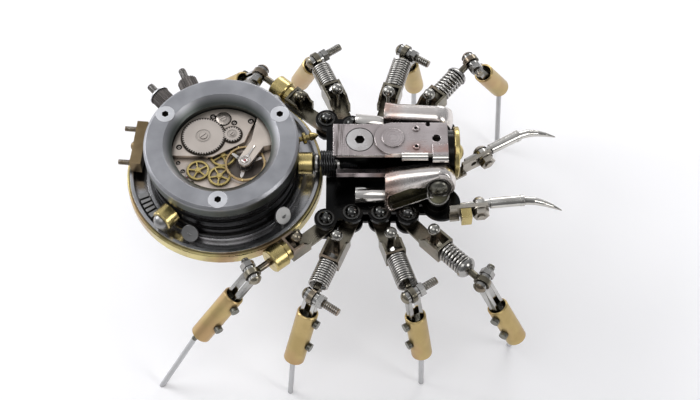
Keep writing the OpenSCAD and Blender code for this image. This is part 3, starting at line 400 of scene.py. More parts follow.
def band(mesh, first, second):
    """Faces between two closed rows of points."""
    for k in range(len(first)):
        after = (k + 1) % len(first)
        mesh.faces.new((first[k], first[after], second[after], second[k]))


def skin(mesh, rows):
    """Faces over rows of points, closed at the first and the last."""
    for first, second in zip(rows, rows[1:]):
        band(mesh, first, second)
    mesh.faces.new(rows[0][::-1])
    mesh.faces.new(rows[-1])


def lathe(mesh, place, profile, sides=40):
    """Adds a hollow turned shape: profile is a closed list of radius and height."""
    rings = [ring_of(mesh, place, radius, height, sides) for radius, height in profile]
    for first, second in zip(rings, rings[1:] + rings[:1]):
        band(mesh, first, second)


def turned(mesh, place, profile, sides):
    """Adds a solid turned shape: profile is a list of radius and height, from the bottom to the top."""
    skin(mesh, [ring_of(mesh, place, radius, height, sides) for radius, height in profile])


def prism(mesh, place, outline, bottom, top, edge):
    """Adds a flat piece cut to an outline, its upper corners broken by edge."""
    centre = sum((Vector(spot) for spot in outline), Vector((0, 0))) / len(outline)
    rows = []
    for height, inset in ((bottom, 0), (top - edge, 0), (top, edge)):
        spots = []
        for spot in outline:
            inwards = centre - Vector(spot)
            spots.append(Vector(spot) + inwards * min(1, inset / inwards.length))
        rows.append([mesh.verts.new(place @ Vector((*spot, height))) for spot in spots])
    skin(mesh, rows)


def sweep(mesh, points, radius, sides):
    """Adds a round wire through the points, closed at both ends."""
    side = None
    rows = []
    for number, point in enumerate(points):
        before = points[max(number - 1, 0)]
        after = points[min(number + 1, len(points) - 1)]
        tangent = (after - before).normalized()
        side = side or tangent.orthogonal()
        side = (side - side.dot(tangent) * tangent).normalized()
        up = tangent.cross(side)
        around = [math.cos(a) * side + math.sin(a) * up for a in round_the_turn(sides)]
        rows.append([mesh.verts.new(point + radius * outwards) for outwards in around])
    skin(mesh, rows)


def coil(mesh, place, radius, wire, start, end, turns, closed_turns=0.0, steps=20, *, sides):
    """Adds a wire wound up an axis; its first and last closed turns lie wire to wire."""
    points = []
    count = round(turns * steps)
    start, end = start + wire / 2, end - wire / 2
    closed = closed_turns * wire
    for k in range(count + 1):
        turn = turns * k / count
        open_part = (turn - closed_turns) / (turns - 2 * closed_turns)
        rise = closed + (end - start - 2 * closed) * open_part
        if turn < closed_turns:
            rise = turn * wire
        if turn > turns - closed_turns:
            rise = end - start - (turns - turn) * wire
        angle = 2 * math.pi * turn
        points.append(place @ Vector((radius * math.cos(angle), radius * math.sin(angle), start + rise)))
    sweep(mesh, points, wire / 2, sides)


def thread(mesh, place, radius, start, end, pitch=0.5 * MM):
    """Adds the ridge of a screw thread on a shank."""
    coil(mesh, place, radius, pitch * 0.5, start, end, (end - start) / pitch, steps=16, sides=5)


# ---------------------------------------------------------------- bezel
# Heavy ring of cast zinc, turned and then dulled by handling, with a rolled
# lip round the window, its walls darkened by painted shade. Three white screws hold it, with painted shade in
# their sockets.
ABDOMEN_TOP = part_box("bezel")[1].z
SCREW_ANGLES = (30, 150, 270)
SCREW_CIRCLE = 20.6 * MM
HEAD_SCREW = Vector((THORAX_X + 3 * MM, 0, 0))
BEYOND_ABDOMEN = 26 * MM
BEZEL_SOCKET, HEAD_SOCKET = 1.25 * MM, 1.75 * MM


def shade_below_the_lip(finish):
    """Painted shade: 0 on the bezel's top face, near 1 down its walls, which it darkens."""
    return finish.along("Z").step(ABDOMEN_TOP - 0.3 * MM, ABDOMEN_TOP - 2 * MM) * 0.94


# The bezel's walls are darkened down from its top face as painted shade.
zinc_cast = metal("zinc_cast", (0.42, 0.42, 0.44), (0.33, 0.332, 0.35), (0.34, 0.48), grain=0.2,
                  grime_and_shade_tone=(0.05, 0.055, 0.05), stains_and_shade=[(shade_below_the_lip, (0.075, 0.085, 0.075))])
white_screw = metal("white_screw", (0.86, 0.86, 0.88), (0.72, 0.72, 0.74), (0.26, 0.42), grain=0.15,
                    marks=(1200, 1200, 1200))
# Near black, painted as shade in sockets, chamfers, hollows and gaps.
hole_shade = metal("hole_shade", (0.02, 0.018, 0.016), (0.012, 0.011, 0.01), (0.5, 0.7), worn=0, edge=0.00004)
dress("bezel", zinc_cast)


def nearest_screw(spot):
    """The axis of the bezel's screw that a spot is closest to."""
    axes = [ABDOMEN + SCREW_CIRCLE * heading_at(angle) for angle in SCREW_ANGLES]
    return min(axes, key=lambda axis: math.hypot(spot.x - axis.x, spot.y - axis.y))


def in_socket(centre):
    """1 for the faces down inside a screw's hexagonal socket, which are painted dark as shade, and 2 for the
    rest of the head's own screw.
    """
    on_head = centre.x > ABDOMEN.x + BEYOND_ABDOMEN
    axis = HEAD_SCREW if on_head else nearest_screw(centre)
    reach_out = math.hypot(centre.x - axis.x, centre.y - axis.y)
    if reach_out < (HEAD_SOCKET if on_head else BEZEL_SOCKET) and centre.z > ABDOMEN_TOP - 4 * MM:
        return 1
    return 2 if on_head else 0


screw_nickel = metal("screw_nickel", (0.82, 0.8, 0.79), (0.56, 0.52, 0.5), (0.2, 0.36), grain=0.3,
                     marks=(900, 900, 900), grime_and_shade=0.9)
dress_faces("countersunk_screws", in_socket, white_screw, hole_shade, screw_nickel)


# ---------------------------------------------------------------- drum
# Black turned housing in a steel channel ring with a brass rim. Bushes, a
# finial, clips and a comb of steel stand round it.
BRASS_GRIME_AND_SHADE = (0.06, 0.04, 0.015)
black_turned = metal("black_turned", (0.045, 0.045, 0.047), (0.018, 0.018, 0.02), (0.2, 0.36),
                     marks=(60, 60, 5000), worn=0.35, paint=0.1)
ring_steel = metal("ring_steel", (0.56, 0.55, 0.56), (0.33, 0.33, 0.335), (0.12, 0.26), grime_and_shade=0.9)
brass = metal("brass", (0.66, 0.54, 0.24), (0.46, 0.36, 0.15), (0.2, 0.34), grain=0.15,
              marks=(5000, 5000, 400), grime_and_shade_tone=BRASS_GRIME_AND_SHADE)
rim_brass = metal("rim_brass", (0.72, 0.62, 0.28), (0.48, 0.4, 0.19), (0.2, 0.36), grain=0.25,
                  marks=(1500, 1500, 200), grime_and_shade_tone=BRASS_GRIME_AND_SHADE, tint=(0.42, 0.27, 0.16))
bolt_steel = metal("bolt_steel", (0.5, 0.49, 0.47), (0.27, 0.26, 0.245), (0.14, 0.3), grime_and_shade=0.9)
clip_steel = metal("clip_steel", (0.38, 0.375, 0.37), (0.25, 0.247, 0.243), (0.3, 0.46))
bronze = metal("bronze", (0.3, 0.225, 0.125), (0.17, 0.12, 0.065), (0.32, 0.5), grime_and_shade_tone=(0.03, 0.02, 0.01))
knob_black = metal("knob_black", (0.1, 0.088, 0.082), (0.05, 0.043, 0.04), (0.3, 0.5), worn=0.8, paint=0.3)
dress("drum", black_turned)
dress("carrier_ring", ring_steel)
dress("brass_rim", rim_brass)
dress("rim_bushes", brass)
dress("rim_screws", clip_steel)
dress("crown_knobs", knob_black)
dress("rear_bar", bronze)

DRUM_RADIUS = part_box("drum")[1].x - ABDOMEN.x
KNOB_ANGLES = (132, 114)
STEM_RADIUS = 1.1 * MM
STEM_THREAD = (10.0 * MM, 14.0 * MM)
WASHER_REACH = 9.2 * MM
BAR_ANGLE = 175
STUD_RADIUS = 0.8 * MM
STUD_SIDES = (-10.8 * MM, 1.8 * MM)
STUD_THREAD = (29.5 * MM, 33.3 * MM)
STUD_PITCH = 0.4 * MM


def crown_stems():
    """Threads on the stems of the two crowns, and a pale washer on the outer face of the rear one."""
    mesh = bmesh.new()
    start, end = (DRUM_RADIUS + out for out in STEM_THREAD)
    for angle in KNOB_ANGLES:
        thread(mesh, radial(angle, KNOB_HEIGHT), STEM_RADIUS, start, end)
    piece("crown_threads", bolt_steel, "body", mesh)
    washer = bmesh.new()
    outside = DRUM_RADIUS + WASHER_REACH
    rim = [(2.46 * MM, outside), (3.4 * MM, outside), (3.4 * MM, outside + 0.4 * MM),
           (2.5 * MM, outside + 0.7 * MM)]
    lathe(washer, radial(KNOB_ANGLES[0], KNOB_HEIGHT), rim)
    piece("crown_washer", white_screw, "body", washer)


def stud_threads():
    """Threads on the two studs that stand out behind the bar."""
    heading = heading_at(BAR_ANGLE)
    sideways = Vector((-heading.y, heading.x, 0))
    height = (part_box("rear_bar")[0].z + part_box("rear_bar")[1].z) / 2
    mesh = bmesh.new()
    for side in STUD_SIDES:
        place = along(ABDOMEN + Vector((0, 0, height)) + sideways * side, heading)
        thread(mesh, place, STUD_RADIUS, *STUD_THREAD, STUD_PITCH)
    piece("stud_threads", bolt_steel, "body", mesh)


crown_stems()
stud_threads()


# ---------------------------------------------------------------- movement
# Open watch movement: a rose-grey plate and bridges, steel winding wheels,
# gilt train wheels, and the balance with its hairspring under a cock.
TRAIN = Vector(joints["centre_spin"]["pos_m"])
BALANCE = Vector(joints["balance_swing"]["pos_m"])
WINDING = [(Vector(joints["ratchet_spin"]["pos_m"]), 6.42 * MM),
           (Vector(joints["crown_spin"]["pos_m"]), 2.57 * MM)]
LINE_WIDTH = 0.85 * MM
BALANCE_SINK = 5.7 * MM
SHADE = (0.06, 0.048, 0.04)


def ringed(point, radius, width):
    """Painted shade round a wheel: 1 from its radius outwards, over a width, 0 elsewhere."""
    def where(finish):
        aside = finish.off_axis(point)
        inner = aside.step(radius - 0.1 * MM, radius + 0.1 * MM)
        return inner * aside.step(radius + width, radius + width - 0.2 * MM)
    return where


def sunk(point, radius):
    """The shadow in a round sinking."""
    return lambda finish: finish.off_axis(point).step(radius, radius - 0.3 * MM) * 0.85


plate_look = {"rough": (0.34, 0.5), "grain": 0.35, "grime_and_shade": 1.0, "marks": (3600, 3600, 3600),
              "grime_and_shade_tone": (0.05, 0.04, 0.03)}
# Painted shade in a ring round each winding wheel.
wheel_shade_rings = [(ringed(point, radius, LINE_WIDTH), SHADE) for point, radius in WINDING]
rose_nickel = metal("rose_nickel", (0.78, 0.69, 0.61), (0.64, 0.56, 0.49), stains_and_shade=wheel_shade_rings, **plate_look)
plate_nickel = metal("plate_nickel", (0.82, 0.72, 0.64), (0.68, 0.59, 0.52),
                     stains_and_shade=[(sunk(BALANCE, BALANCE_SINK), SHADE)], **plate_look)
gilt = metal("gilt", (0.8, 0.64, 0.26), (0.58, 0.44, 0.16), (0.2, 0.34), edge=0.00006)
rose_gilt = metal("rose_gilt", (0.7, 0.52, 0.28), (0.52, 0.36, 0.18), (0.2, 0.34), edge=0.00006)
sunk_steel = metal("sunk_steel", (0.74, 0.665, 0.6), (0.64, 0.57, 0.51), (0.28, 0.42), grain=0.2,
                   edge=0.00006, marks=(4200, 4200, 4200), grime_and_shade=1.0, grime_and_shade_tone=(0.04, 0.03, 0.025))
silver = metal("silver", (0.84, 0.8, 0.76), (0.68, 0.63, 0.6), (0.14, 0.26), grain=0.1, edge=0.00006)
blued_steel = metal("blued_steel", (0.09, 0.085, 0.09), (0.045, 0.043, 0.05), (0.2, 0.3), edge=0.00004)
ruby = metal("ruby", (0.42, 0.17, 0.17), (0.3, 0.1, 0.1), (0.08, 0.16), grain=0.05, worn=0, edge=0.00004,
             paint=1.0)
dress("main_plate", plate_nickel)
dress("bridges", rose_nickel)
for node in ("centre_wheel", "third_wheel", "fourth_wheel"):
    dress(node, gilt)
dress("balance_wheel", rose_gilt)
for node in ("ratchet_wheel", "crown_wheel"):
    dress(node, sunk_steel)

PLATE_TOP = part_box("main_plate")[1].z
BRIDGE_TOP = PLATE_TOP + 1.8 * MM
COCK_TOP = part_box("bridges")[1].z
BALANCE_TOP = COCK_TOP - 1.5 * MM
BALANCE_RADIUS = (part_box("balance_wheel")[1].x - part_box("balance_wheel")[0].x) / 2
MOVEMENT = Vector((TRAIN.x + 0.3 * MM, TRAIN.y + 0.9 * MM, 0))
BRIDGE_SCREWS = ((-4, 12.7, 0.4), (8, 11, 1.9), (-14, 1.3, 2.6), (2.8, 10.4, 0.9))
PLATE_SCREWS = ((-12.6, -6.4, 1.2), (-9.6, -10.6, 0.2), (4.9, -12.6, 2.2), (-14.2, -3.4, 0.7))
JEWEL_SPOTS = ((11.6, 6.6), (-11.2, -8.6), (1.8, -13.4))
SETTING_SPOT = (-0.7, 11.8)
SETTING_TEETH = 18
SLOT_WIDTH = 0.22 * MM


def over(point, height):
    """Upright over a point, at a height."""
    return Matrix.Translation((point.x, point.y, height))


def in_movement(x, y, height):
    """Upright over a spot given in millimetres from the middle of the movement."""
    return over(MOVEMENT + Vector((x, y, 0)) * MM, height)


def slotted_screw(mesh, place, radius, height, slot_angle):
    """Adds a flat screw head with a slot cut across it."""
    place = place @ Matrix.Rotation(slot_angle, 4, "Z")
    turned(mesh, place, [(radius * 0.98, 0), (radius * 0.98, height * 0.5)], 24)
    start = math.asin(SLOT_WIDTH / 2 / radius)
    for half in (0, math.pi):
        arc = [half + start + (math.pi - 2 * start) * k / 10 for k in range(11)]
        outline = [(radius * math.cos(a), radius * math.sin(a)) for a in arc]
        prism(mesh, place, outline, height * 0.4, height, height * 0.15)


def flat_ring(inner, outer, height):
    """The section of a flat ring, from its sizes in millimetres."""
    return [(inner * MM, 0), (outer * MM, 0), (outer * MM, height * MM), (inner * MM, height * MM)]


def movement_screws():
    """Steel screws let into the bridge and the plate."""
    bright = bmesh.new()
    for screws, level, radius in ((BRIDGE_SCREWS, BRIDGE_TOP, 0.6 * MM), (PLATE_SCREWS, PLATE_TOP, 0.5 * MM)):
        for x, y, slot_angle in screws:
            slotted_screw(bright, in_movement(x, y, level - 0.6 * MM), radius, 0.5 * MM, slot_angle)
    piece("movement_screws", sunk_steel, "body", bright)


def dark_rims():
    """Painted shade on the chamfers round the plates' small screws and round the setting wheel."""
    mesh = bmesh.new()
    for screws, level, section in ((BRIDGE_SCREWS, BRIDGE_TOP, flat_ring(0.6, 0.95, 0.03)),
                                   (PLATE_SCREWS, PLATE_TOP, flat_ring(0.5, 0.72, 0.03))):
        for x, y, _ in screws:
            lathe(mesh, in_movement(x, y, level), section, 28)
    lathe(mesh, in_movement(*SETTING_SPOT, BRIDGE_TOP), flat_ring(2.3, 2.6, 0.02))
    piece("dark_rims", hole_shade, "body", mesh)


def setting_wheel():
    """Small toothed wheel let into the bridge beside the ratchet."""
    mesh = bmesh.new()
    outline = []
    for k, angle in enumerate(round_the_turn(SETTING_TEETH * 4)):
        radius = (2.15, 2.35, 2.35, 2.15)[k % 4] * MM
        outline.append((radius * math.cos(angle), radius * math.sin(angle)))
    place = in_movement(*SETTING_SPOT, BRIDGE_TOP)
    prism(mesh, place, outline, 0.02 * MM, 0.32 * MM, 0.05 * MM)
    slotted_screw(mesh, place @ Matrix.Translation((0, 0, 0.3 * MM)), 0.95 * MM, 0.3 * MM, 0.5)
    piece("setting_wheel", sunk_steel, "body", mesh)


def jewel(stones, settings, place, radius):
    """Adds a red stone and the turned setting round it."""
    dome = [(radius * math.cos(a), 0.06 * MM + radius * 0.35 * math.sin(a)) for a in (0, 0.5, 1.0, 1.35)]
    turned(stones, place, [(radius, 0.01 * MM)] + dome, 24)
    low, high = 0.1 * MM, 0.2 * MM
    outside = [(radius * 1.9, 0), (radius * 1.9, low), (radius * 1.6, high)]
    lathe(settings, place, [(radius, 0)] + outside + [(radius, low)])


def jewels():
    """Stones over the balance's staff, in the bridge and in the plate, in polished settings."""
    stones = bmesh.new()
    settings = bmesh.new()
    jewel(stones, settings, over(BALANCE, COCK_TOP), 0.5 * MM)
    for x, y in JEWEL_SPOTS:
        jewel(stones, settings, in_movement(x, y, BRIDGE_TOP if y > 0 else PLATE_TOP), 0.34 * MM)
    lathe(settings, over(BALANCE, COCK_TOP), flat_ring(1.35, 1.75, 0.12))
    piece("jewels", ruby, "body", stones)
    piece("jewel_settings", silver, "body", settings)


def balance_arms():
    """The balance's three polished arms."""
    mesh = bmesh.new()
    far, tip = BALANCE_RADIUS - 1.2 * MM, BALANCE_RADIUS - 0.7 * MM
    outline = [(1.0 * MM, -0.75 * MM), (far, -0.42 * MM), (tip, 0), (far, 0.42 * MM), (1.0 * MM, 0.75 * MM)]
    for angle in (20, 140, 260):
        place = over(BALANCE, BALANCE_TOP) @ Matrix.Rotation(math.radians(angle), 4, "Z")
        prism(mesh, place, outline, -0.1 * MM, 0.06 * MM, 0.05 * MM)
    piece("balance_arms", silver, "balance", mesh)


def balance_screws(count=14):
    """The timing screws round the balance's rim."""
    mesh = bmesh.new()
    shank = [(0.2 * MM, BALANCE_RADIUS - 0.1 * MM), (0.2 * MM, BALANCE_RADIUS + 0.2 * MM)]
    for k in range(count):
        turn = Matrix.Rotation(2 * math.pi * (k + 0.3) / count, 4, "Z")
        place = over(BALANCE, BALANCE_TOP - 0.25 * MM) @ turn
        turned(mesh, place @ Matrix.Rotation(math.pi / 2, 4, "Y"), shank, 12)
    piece("balance_screws", gilt, "balance", mesh)


def hairspring(turns=6.5, steps=28):
    """The flat spring wound over the balance."""
    mesh = bmesh.new()
    middle = Vector((BALANCE.x, BALANCE.y, BALANCE_TOP + 0.3 * MM))
    points = []
    for k in range(round(turns * steps)):
        angle = 2 * math.pi * k / steps
        radius = (1.1 + 0.3 * k / steps) * MM
        points.append(middle + radius * Vector((math.cos(angle), math.sin(angle), 0)))
    sweep(mesh, points, 0.045 * MM, 4)
    piece("hairspring", blued_steel, "balance", mesh)


def regulator():
    """Thin steel arm on the balance's cock."""
    mesh = bmesh.new()
    arm = over(BALANCE, COCK_TOP) @ Matrix.Rotation(math.radians(62), 4, "Z")
    near, far = 1.3 * MM, 6.2 * MM
    outline = [(near, -0.28 * MM), (far, -0.14 * MM), (far, 0.14 * MM), (near, 0.28 * MM)]
    prism(mesh, arm, outline, 0.02 * MM, 0.2 * MM, 0.05 * MM)
    piece("regulator", silver, "body", mesh)


movement_screws()
dark_rims()
setting_wheel()
jewels()
balance_arms()
balance_screws()
hairspring()
regulator()


# ---------------------------------------------------------------- thorax
# Two black lacquered plates bolted together over the hips, a black block on
# them, a nickel head plate, and two heavy cast levers at the front.
HEAD_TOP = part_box("head_plates")[1].z
# Past this, towards the lens, the head plate's faces are given chrome as a painted highlight along its near
# edge.
HIGHLIGHT_SIDE = -5.35 * MM


def rear_stains(finish):
    """Dark upright streaks on the rear end of the head plate."""
    streaks = finish.cloud(1, 3, finish.stretched((1500, 120, 120))).step(0.42, 0.6)
    return finish.along("X").step(THORAX_X + 1.2 * MM, THORAX_X - 2.5 * MM) * streaks * 0.75


def rosy_corner(finish):
    """The reddish bare metal at the front of the head, on its right."""
    front = finish.along("X").step(THORAX_X + 15 * MM, THORAX_X + 19 * MM)
    right = finish.along("Y").step(-0.5 * MM, -4 * MM) * finish.along("Y").step(-5.6 * MM, -5.2 * MM)
    return front * right * finish.cloud(260, 3).step(0.3, 0.55) * 0.7


def rosy_rear(finish):
    """The copper showing at the rear of the right-hand lever."""
    rear = finish.along("X").step(THORAX_X + 17.5 * MM, THORAX_X + 12.5 * MM)
    return rear * finish.cloud(300, 3).step(0.3, 0.5) * 0.8


black_lacquer = metal("black_lacquer", (0.02, 0.02, 0.02), (0.006, 0.006, 0.006), (0.1, 0.24), worn=0.3,
                      paint=0.05)
chrome = metal("chrome", (0.84, 0.82, 0.78), (0.66, 0.62, 0.58), (0.1, 0.2), grain=0.08, grime_and_shade=0.9)
lever_chrome = metal("lever_chrome", (0.84, 0.8, 0.77), (0.66, 0.61, 0.575), (0.18, 0.32), grain=0.1,
                     grime_and_shade=0.9, stains_and_shade=[(rosy_rear, (0.62, 0.42, 0.35))])
strip_steel = metal("strip_steel", (0.6, 0.53, 0.53), (0.42, 0.36, 0.36), (0.22, 0.38), grime_and_shade=0.9)
ball_chrome = metal("ball_chrome", (0.44, 0.43, 0.4), (0.24, 0.23, 0.21), (0.16, 0.3), grain=0.1, grime_and_shade=1.0)
trough_steel = metal("trough_steel", (0.11, 0.105, 0.07), (0.05, 0.048, 0.033), (0.2, 0.36), grime_and_shade=0.9,
                     worn=0.3)
# worn=1 and the wide edge brighten its edges all round, as wear and as a painted highlight.
head_nickel = metal("head_nickel", (0.66, 0.595, 0.59), (0.49, 0.43, 0.42), (0.2, 0.34), grain=0.15,
                    marks=(160, 4200, 4200), grime_and_shade=0.9, worn=1, edge=0.00028,
                    stains_and_shade=[(rear_stains, (0.1, 0.08, 0.07)), (rosy_corner, (0.55, 0.31, 0.26))])
gunmetal = metal("gunmetal", (0.24, 0.235, 0.2), (0.12, 0.118, 0.098), (0.2, 0.34), grain=0.1, grime_and_shade=0.9)
black_wire = metal("black_wire", (0.07, 0.07, 0.072), (0.03, 0.03, 0.031), (0.12, 0.26), worn=0.4)
hip_black = metal("hip_black", (0.13, 0.13, 0.125), (0.05, 0.05, 0.048), (0.08, 0.2), worn=0.5, grime_and_shade=0.9)
dress("chassis", black_lacquer)
dress("spine_block", black_lacquer)
# The near side's faces get chrome as a painted highlight.
dress_faces("head_plates", lambda centre: 1 if centre.y < HIGHLIGHT_SIDE else 0, head_nickel, chrome)
dress("face_disc", brass)

# In millimetres and degrees. A lever is drawn round its bolt, with its face outwards.
RIVETS = ((20.3, -3.2), (20.3, 3.4))
OUTWARDS = {"right": -1, "left": 1}
LEVER_X = 27.3
LEVER_LEAN = 75
LEVER_SPOTS = {"right": (-9.85, 56.3), "left": (13, 56.3)}
LEVER_SWING = {"right": 0, "left": -7}
LEVER_REAR, EYE_REACH = -16.5, 5.4
LEVER_BACK = -2.6
CROWN_DROP = 0.8
CROWN_STEPS = 20
FACE_STEPS = 40
BELLY_X, BELLY_Y = -2.6, -4.1
LEDGE_X, LEDGE_SLOPE = -3.5, 0.45
TROUGH_DEPTH, TROUGH_X = 2, -2
SEAT_DEPTH, SEAT_RADIUS = 0.9, 4.2
BOSS_SPOT = (27.3, 12.5, 53.3)
BOSS_LEAN = 20


def waist_springs():
    """A wide spring behind the waist washer and a narrow one in front, both black."""
    back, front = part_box("waist_springs")
    washer = THORAX_X - 4 * MM
    place = along(Vector((0, 0, RIM_HEIGHT)), (1, 0, 0))
    mesh = bmesh.new()
    coil(mesh, place, 3.7 * MM, 0.8 * MM, back.x, washer, 6, 0.6, sides=10)
    coil(mesh, place, 1.85 * MM, 0.7 * MM, washer + 0.85 * MM, front.x, 8, 0.6, sides=10)
    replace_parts(piece("waist_coils", black_wire, "body", mesh), "waist_springs")


def head_details():
    """Painted shade in the hollows of the rivets and in a ring round the head's screw, and turned lines on
    the boss.
    """
    eyes = bmesh.new()
    lines = bmesh.new()
    for x, y in RIVETS:
        place = Matrix.Translation((THORAX_X + x * MM, y * MM, HEAD_TOP - 0.5 * MM))
        turned(eyes, place, [(0.55 * MM, 0), (0.55 * MM, 0.42 * MM)], 20)
        collar = [(0.5, 0), (1.05, 0), (1.05, 0.3), (0.8, 0.55), (0.55, 0.5)]
        lathe(lines, place, [(radius * MM, height * MM) for radius, height in collar], 28)
    lathe(eyes, over(HEAD_SCREW, HEAD_TOP - 1.3 * MM), flat_ring(4.1, 4.35, 0.02), 60)
    piece("head_hollow_shade", hole_shade, "body", eyes)
    boss = Matrix.Translation((THORAX_X + 13.2 * MM, 0, HEAD_TOP))
    for radius in (1.2, 2.1, 2.9):
        lathe(lines, boss, flat_ring(radius, radius + 0.12, 0.03), 60)
    piece("boss_lines", head_nickel, "body", lines)


def shells_of(node, chosen):
    """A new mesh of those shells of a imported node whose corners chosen() accepts."""
    source = nodes[node].data
    mesh = bmesh.new()
    for faces, lowest, highest in islands(source):
        if not chosen(lowest, highest):
            continue
        for face in faces:
            mesh.faces.new([mesh.verts.new(source.vertices[i].co) for i in face.vertices])
    bmesh.ops.remove_doubles(mesh, verts=mesh.verts, dist=1e-6)
    return mesh


def lever_place(side):
    """The frame of a lever: X forwards, Y up its face and Z out along its bolt."""
    outwards = OUTWARDS[side]
    y, z = LEVER_SPOTS[side]
    lean = math.radians(LEVER_LEAN)
    bolt = Vector((0, outwards * math.sin(lean), math.cos(lean)))
    up = Vector((0, -outwards * math.cos(lean), math.sin(lean)))
    columns = Matrix((Vector((1, 0, 0)), up, bolt)).transposed().to_4x4()
    swing = Matrix.Rotation(math.radians(LEVER_SWING[side]), 4, "Z")
    return Matrix.Translation((THORAX_X + LEVER_X * MM, y * MM, z * MM)) @ swing @ columns


def ease(value, start, end):
    """0 at start and 1 at end, with a soft way out of the one and into the other."""
    share = min(1, max(0, (value - start) / (end - start)))
    return share * share * (3 - 2 * share)


def lever_edges(x):
    """Top and bottom of the lever at a distance ahead of its bolt, and its outer face."""
    share = min(1, (x - LEVER_REAR) / -LEVER_REAR)
    nose = math.sqrt(max(1 - (x / EYE_REACH) ** 2, 0)) if x > 0 else 1
    ahead = x - BELLY_X
    belly = math.sqrt(max(1 - (ahead / (EYE_REACH - BELLY_X)) ** 2, 0)) if ahead > 0 else 1
    top = (4.2 + 2.8 * share ** 0.8) * nose
    bottom = min(BELLY_Y + 0.4 * ahead, BELLY_Y) * belly
    return top, bottom, 4.2 - 1.2 * share


def hollow_depth(x, y, bottom):
    """How deep the lever's outer face lies at a spot: its long trough, and the round seat of its bolt."""
    ledge = 3.1 + LEDGE_SLOPE * (x - LEDGE_X)
    far_end = ease(math.hypot(min(x + 12.6, 0), 0.6 * (y + 4.4)), 3, 2.6)
    inside = min(ease(ledge - y, 0, 0.4), ease(y - bottom, 0.6, 0.9), far_end, ease(-x, 2.2, 3))
    return max(TROUGH_DEPTH * inside, SEAT_DEPTH * ease(SEAT_RADIUS - math.hypot(x, y), 0, 0.3))


def lever_rows(steps=90):
    """Rows of points round the lever, from its rear end to the tip of its eye, and how deep each is sunk."""
    rows = []
    for k in range(steps + 1):
        x = LEVER_REAR + (EYE_REACH - LEVER_REAR) * math.sin(math.pi / 2 * k / steps)
        top, bottom, outer = lever_edges(x)
        shoulder = max(3.5 + LEDGE_SLOPE * (x - LEDGE_X), -0.5) if x < 0 else 5 * top / 6
        shoulder = min(shoulder, top * 0.84)
        row = [(LEVER_BACK, bottom + 0.3, 0), (LEVER_BACK, top - CROWN_DROP, 0)]
        for n in range(1, CROWN_STEPS):
            across = -1 + 2 * n / CROWN_STEPS
            if across < 0:
                drop = CROWN_DROP * abs(across) ** 2.6
            else:
                drop = (top - shoulder) * (1 - math.sqrt(1 - across ** 2.2))
            row.append((across * (outer if across > 0 else -LEVER_BACK), top - drop, 0))
        for n in range(FACE_STEPS + 1):
            y = shoulder + (bottom + 0.25 - shoulder) * n / FACE_STEPS
            sunk_by = hollow_depth(x, y, bottom)
            row.append((outer - sunk_by, y, sunk_by))
        row += [(outer - 0.3, bottom, 0), (LEVER_BACK + 0.3, bottom, 0)]
        nose = 0.5 * ease(x, 2, EYE_REACH)
        rows.append([(x - nose * (z / 3) ** 2, y, z, sunk_by) for z, y, sunk_by in row])
    return rows


def lever_casting(side):
    """The lever as a casting with a crowned back and its trough, and the tube let into its rear end."""
    place = lever_place(side)
    mesh = bmesh.new()
    table = lever_rows()
    rows = [[mesh.verts.new(place @ (Vector(spot[:3]) * MM)) for spot in row] for row in table]
    skin(mesh, rows)
    mesh.faces.ensure_lookup_table()
    spots = [spot for row in table[:-1] for spot in row]
    for number, (x, _, _, sunk_by) in enumerate(spots):
        if sunk_by > 0.6 * TROUGH_DEPTH and x < TROUGH_X:
            mesh.faces[number].material_index = 1
    casting = piece(f"lever_casting_{side}", lever_chrome, "body", mesh, 40)
    casting.data.materials.append(trough_steel)
    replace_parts(casting, f"lever_{side}")
    tube = bmesh.new()
    bore = place @ along(Vector((LEVER_REAR - 9.2, -4.8, 0.6 if side == "right" else -1.4)) * MM, (1, 0, 0))
    outline = [(2, 0), (2.35, 0), (2.5, 0.15), (2.5, 10), (2, 10)]
    lathe(tube, bore, [(radius * MM, length * MM) for radius, length in outline])
    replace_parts(piece(f"lever_tube_{side}", chrome, "body", tube), f"lever_{side}")


def lever_strip():
    """The strip of steel that runs back beside the right-hand lever."""
    mesh = bmesh.new()
    rear, front = (LEVER_REAR - 15) * MM, (LEVER_REAR + 0.4) * MM
    outline = [(rear, 1.9 * MM), (front, 1.9 * MM), (front, 3.5 * MM), (rear, 3.5 * MM)]
    prism(mesh, lever_place("right"), outline, -2.2 * MM, -0.2 * MM, 0.12 * MM)
    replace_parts(piece("lever_strip", strip_steel, "body", mesh), "lever_right")


def lever_bolt(side):
    """Domed bolt in the lever's seat with its bright rim, and the rimmed cap of the post under it."""
    seat = lever_place(side) @ Matrix.Translation((0, 0, 2.15 * MM))
    dome = [(3.0 * MM, 0)]
    for k in range(13):
        angle = math.radians(7 * k)
        dome.append((3.0 * math.cos(angle) * MM, (0.3 + 1.5 * math.sin(angle)) * MM))
    mesh = bmesh.new()
    turned(mesh, seat, dome, 48)
    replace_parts(piece(f"lever_bolt_{side}", gunmetal, "body", mesh), "chassis_bolts")
    outwards = OUTWARDS[side]
    lean = math.radians(BOSS_LEAN)
    x, y, z = BOSS_SPOT
    spot = Vector((THORAX_X + x * MM, outwards * y * MM, z * MM))
    post = along(spot, (0, outwards * math.sin(lean), math.cos(lean)))
    cap = bmesh.new()
    turned(cap, post, [(3.1 * MM, 0), (3.1 * MM, 0.4 * MM), (1.2 * MM, 0.55 * MM)], 56)
    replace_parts(piece(f"post_cap_{side}", trough_steel, "body", cap), "chassis_bolts")
    rims = bmesh.new()
    lathe(rims, seat, flat_ring(3.35, 3.65, 0.45), 56)
    lathe(rims, post, flat_ring(3.1, 3.5, 0.6), 56)
    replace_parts(piece(f"lever_rims_{side}", ball_chrome, "body", rims), "chassis_bolts")


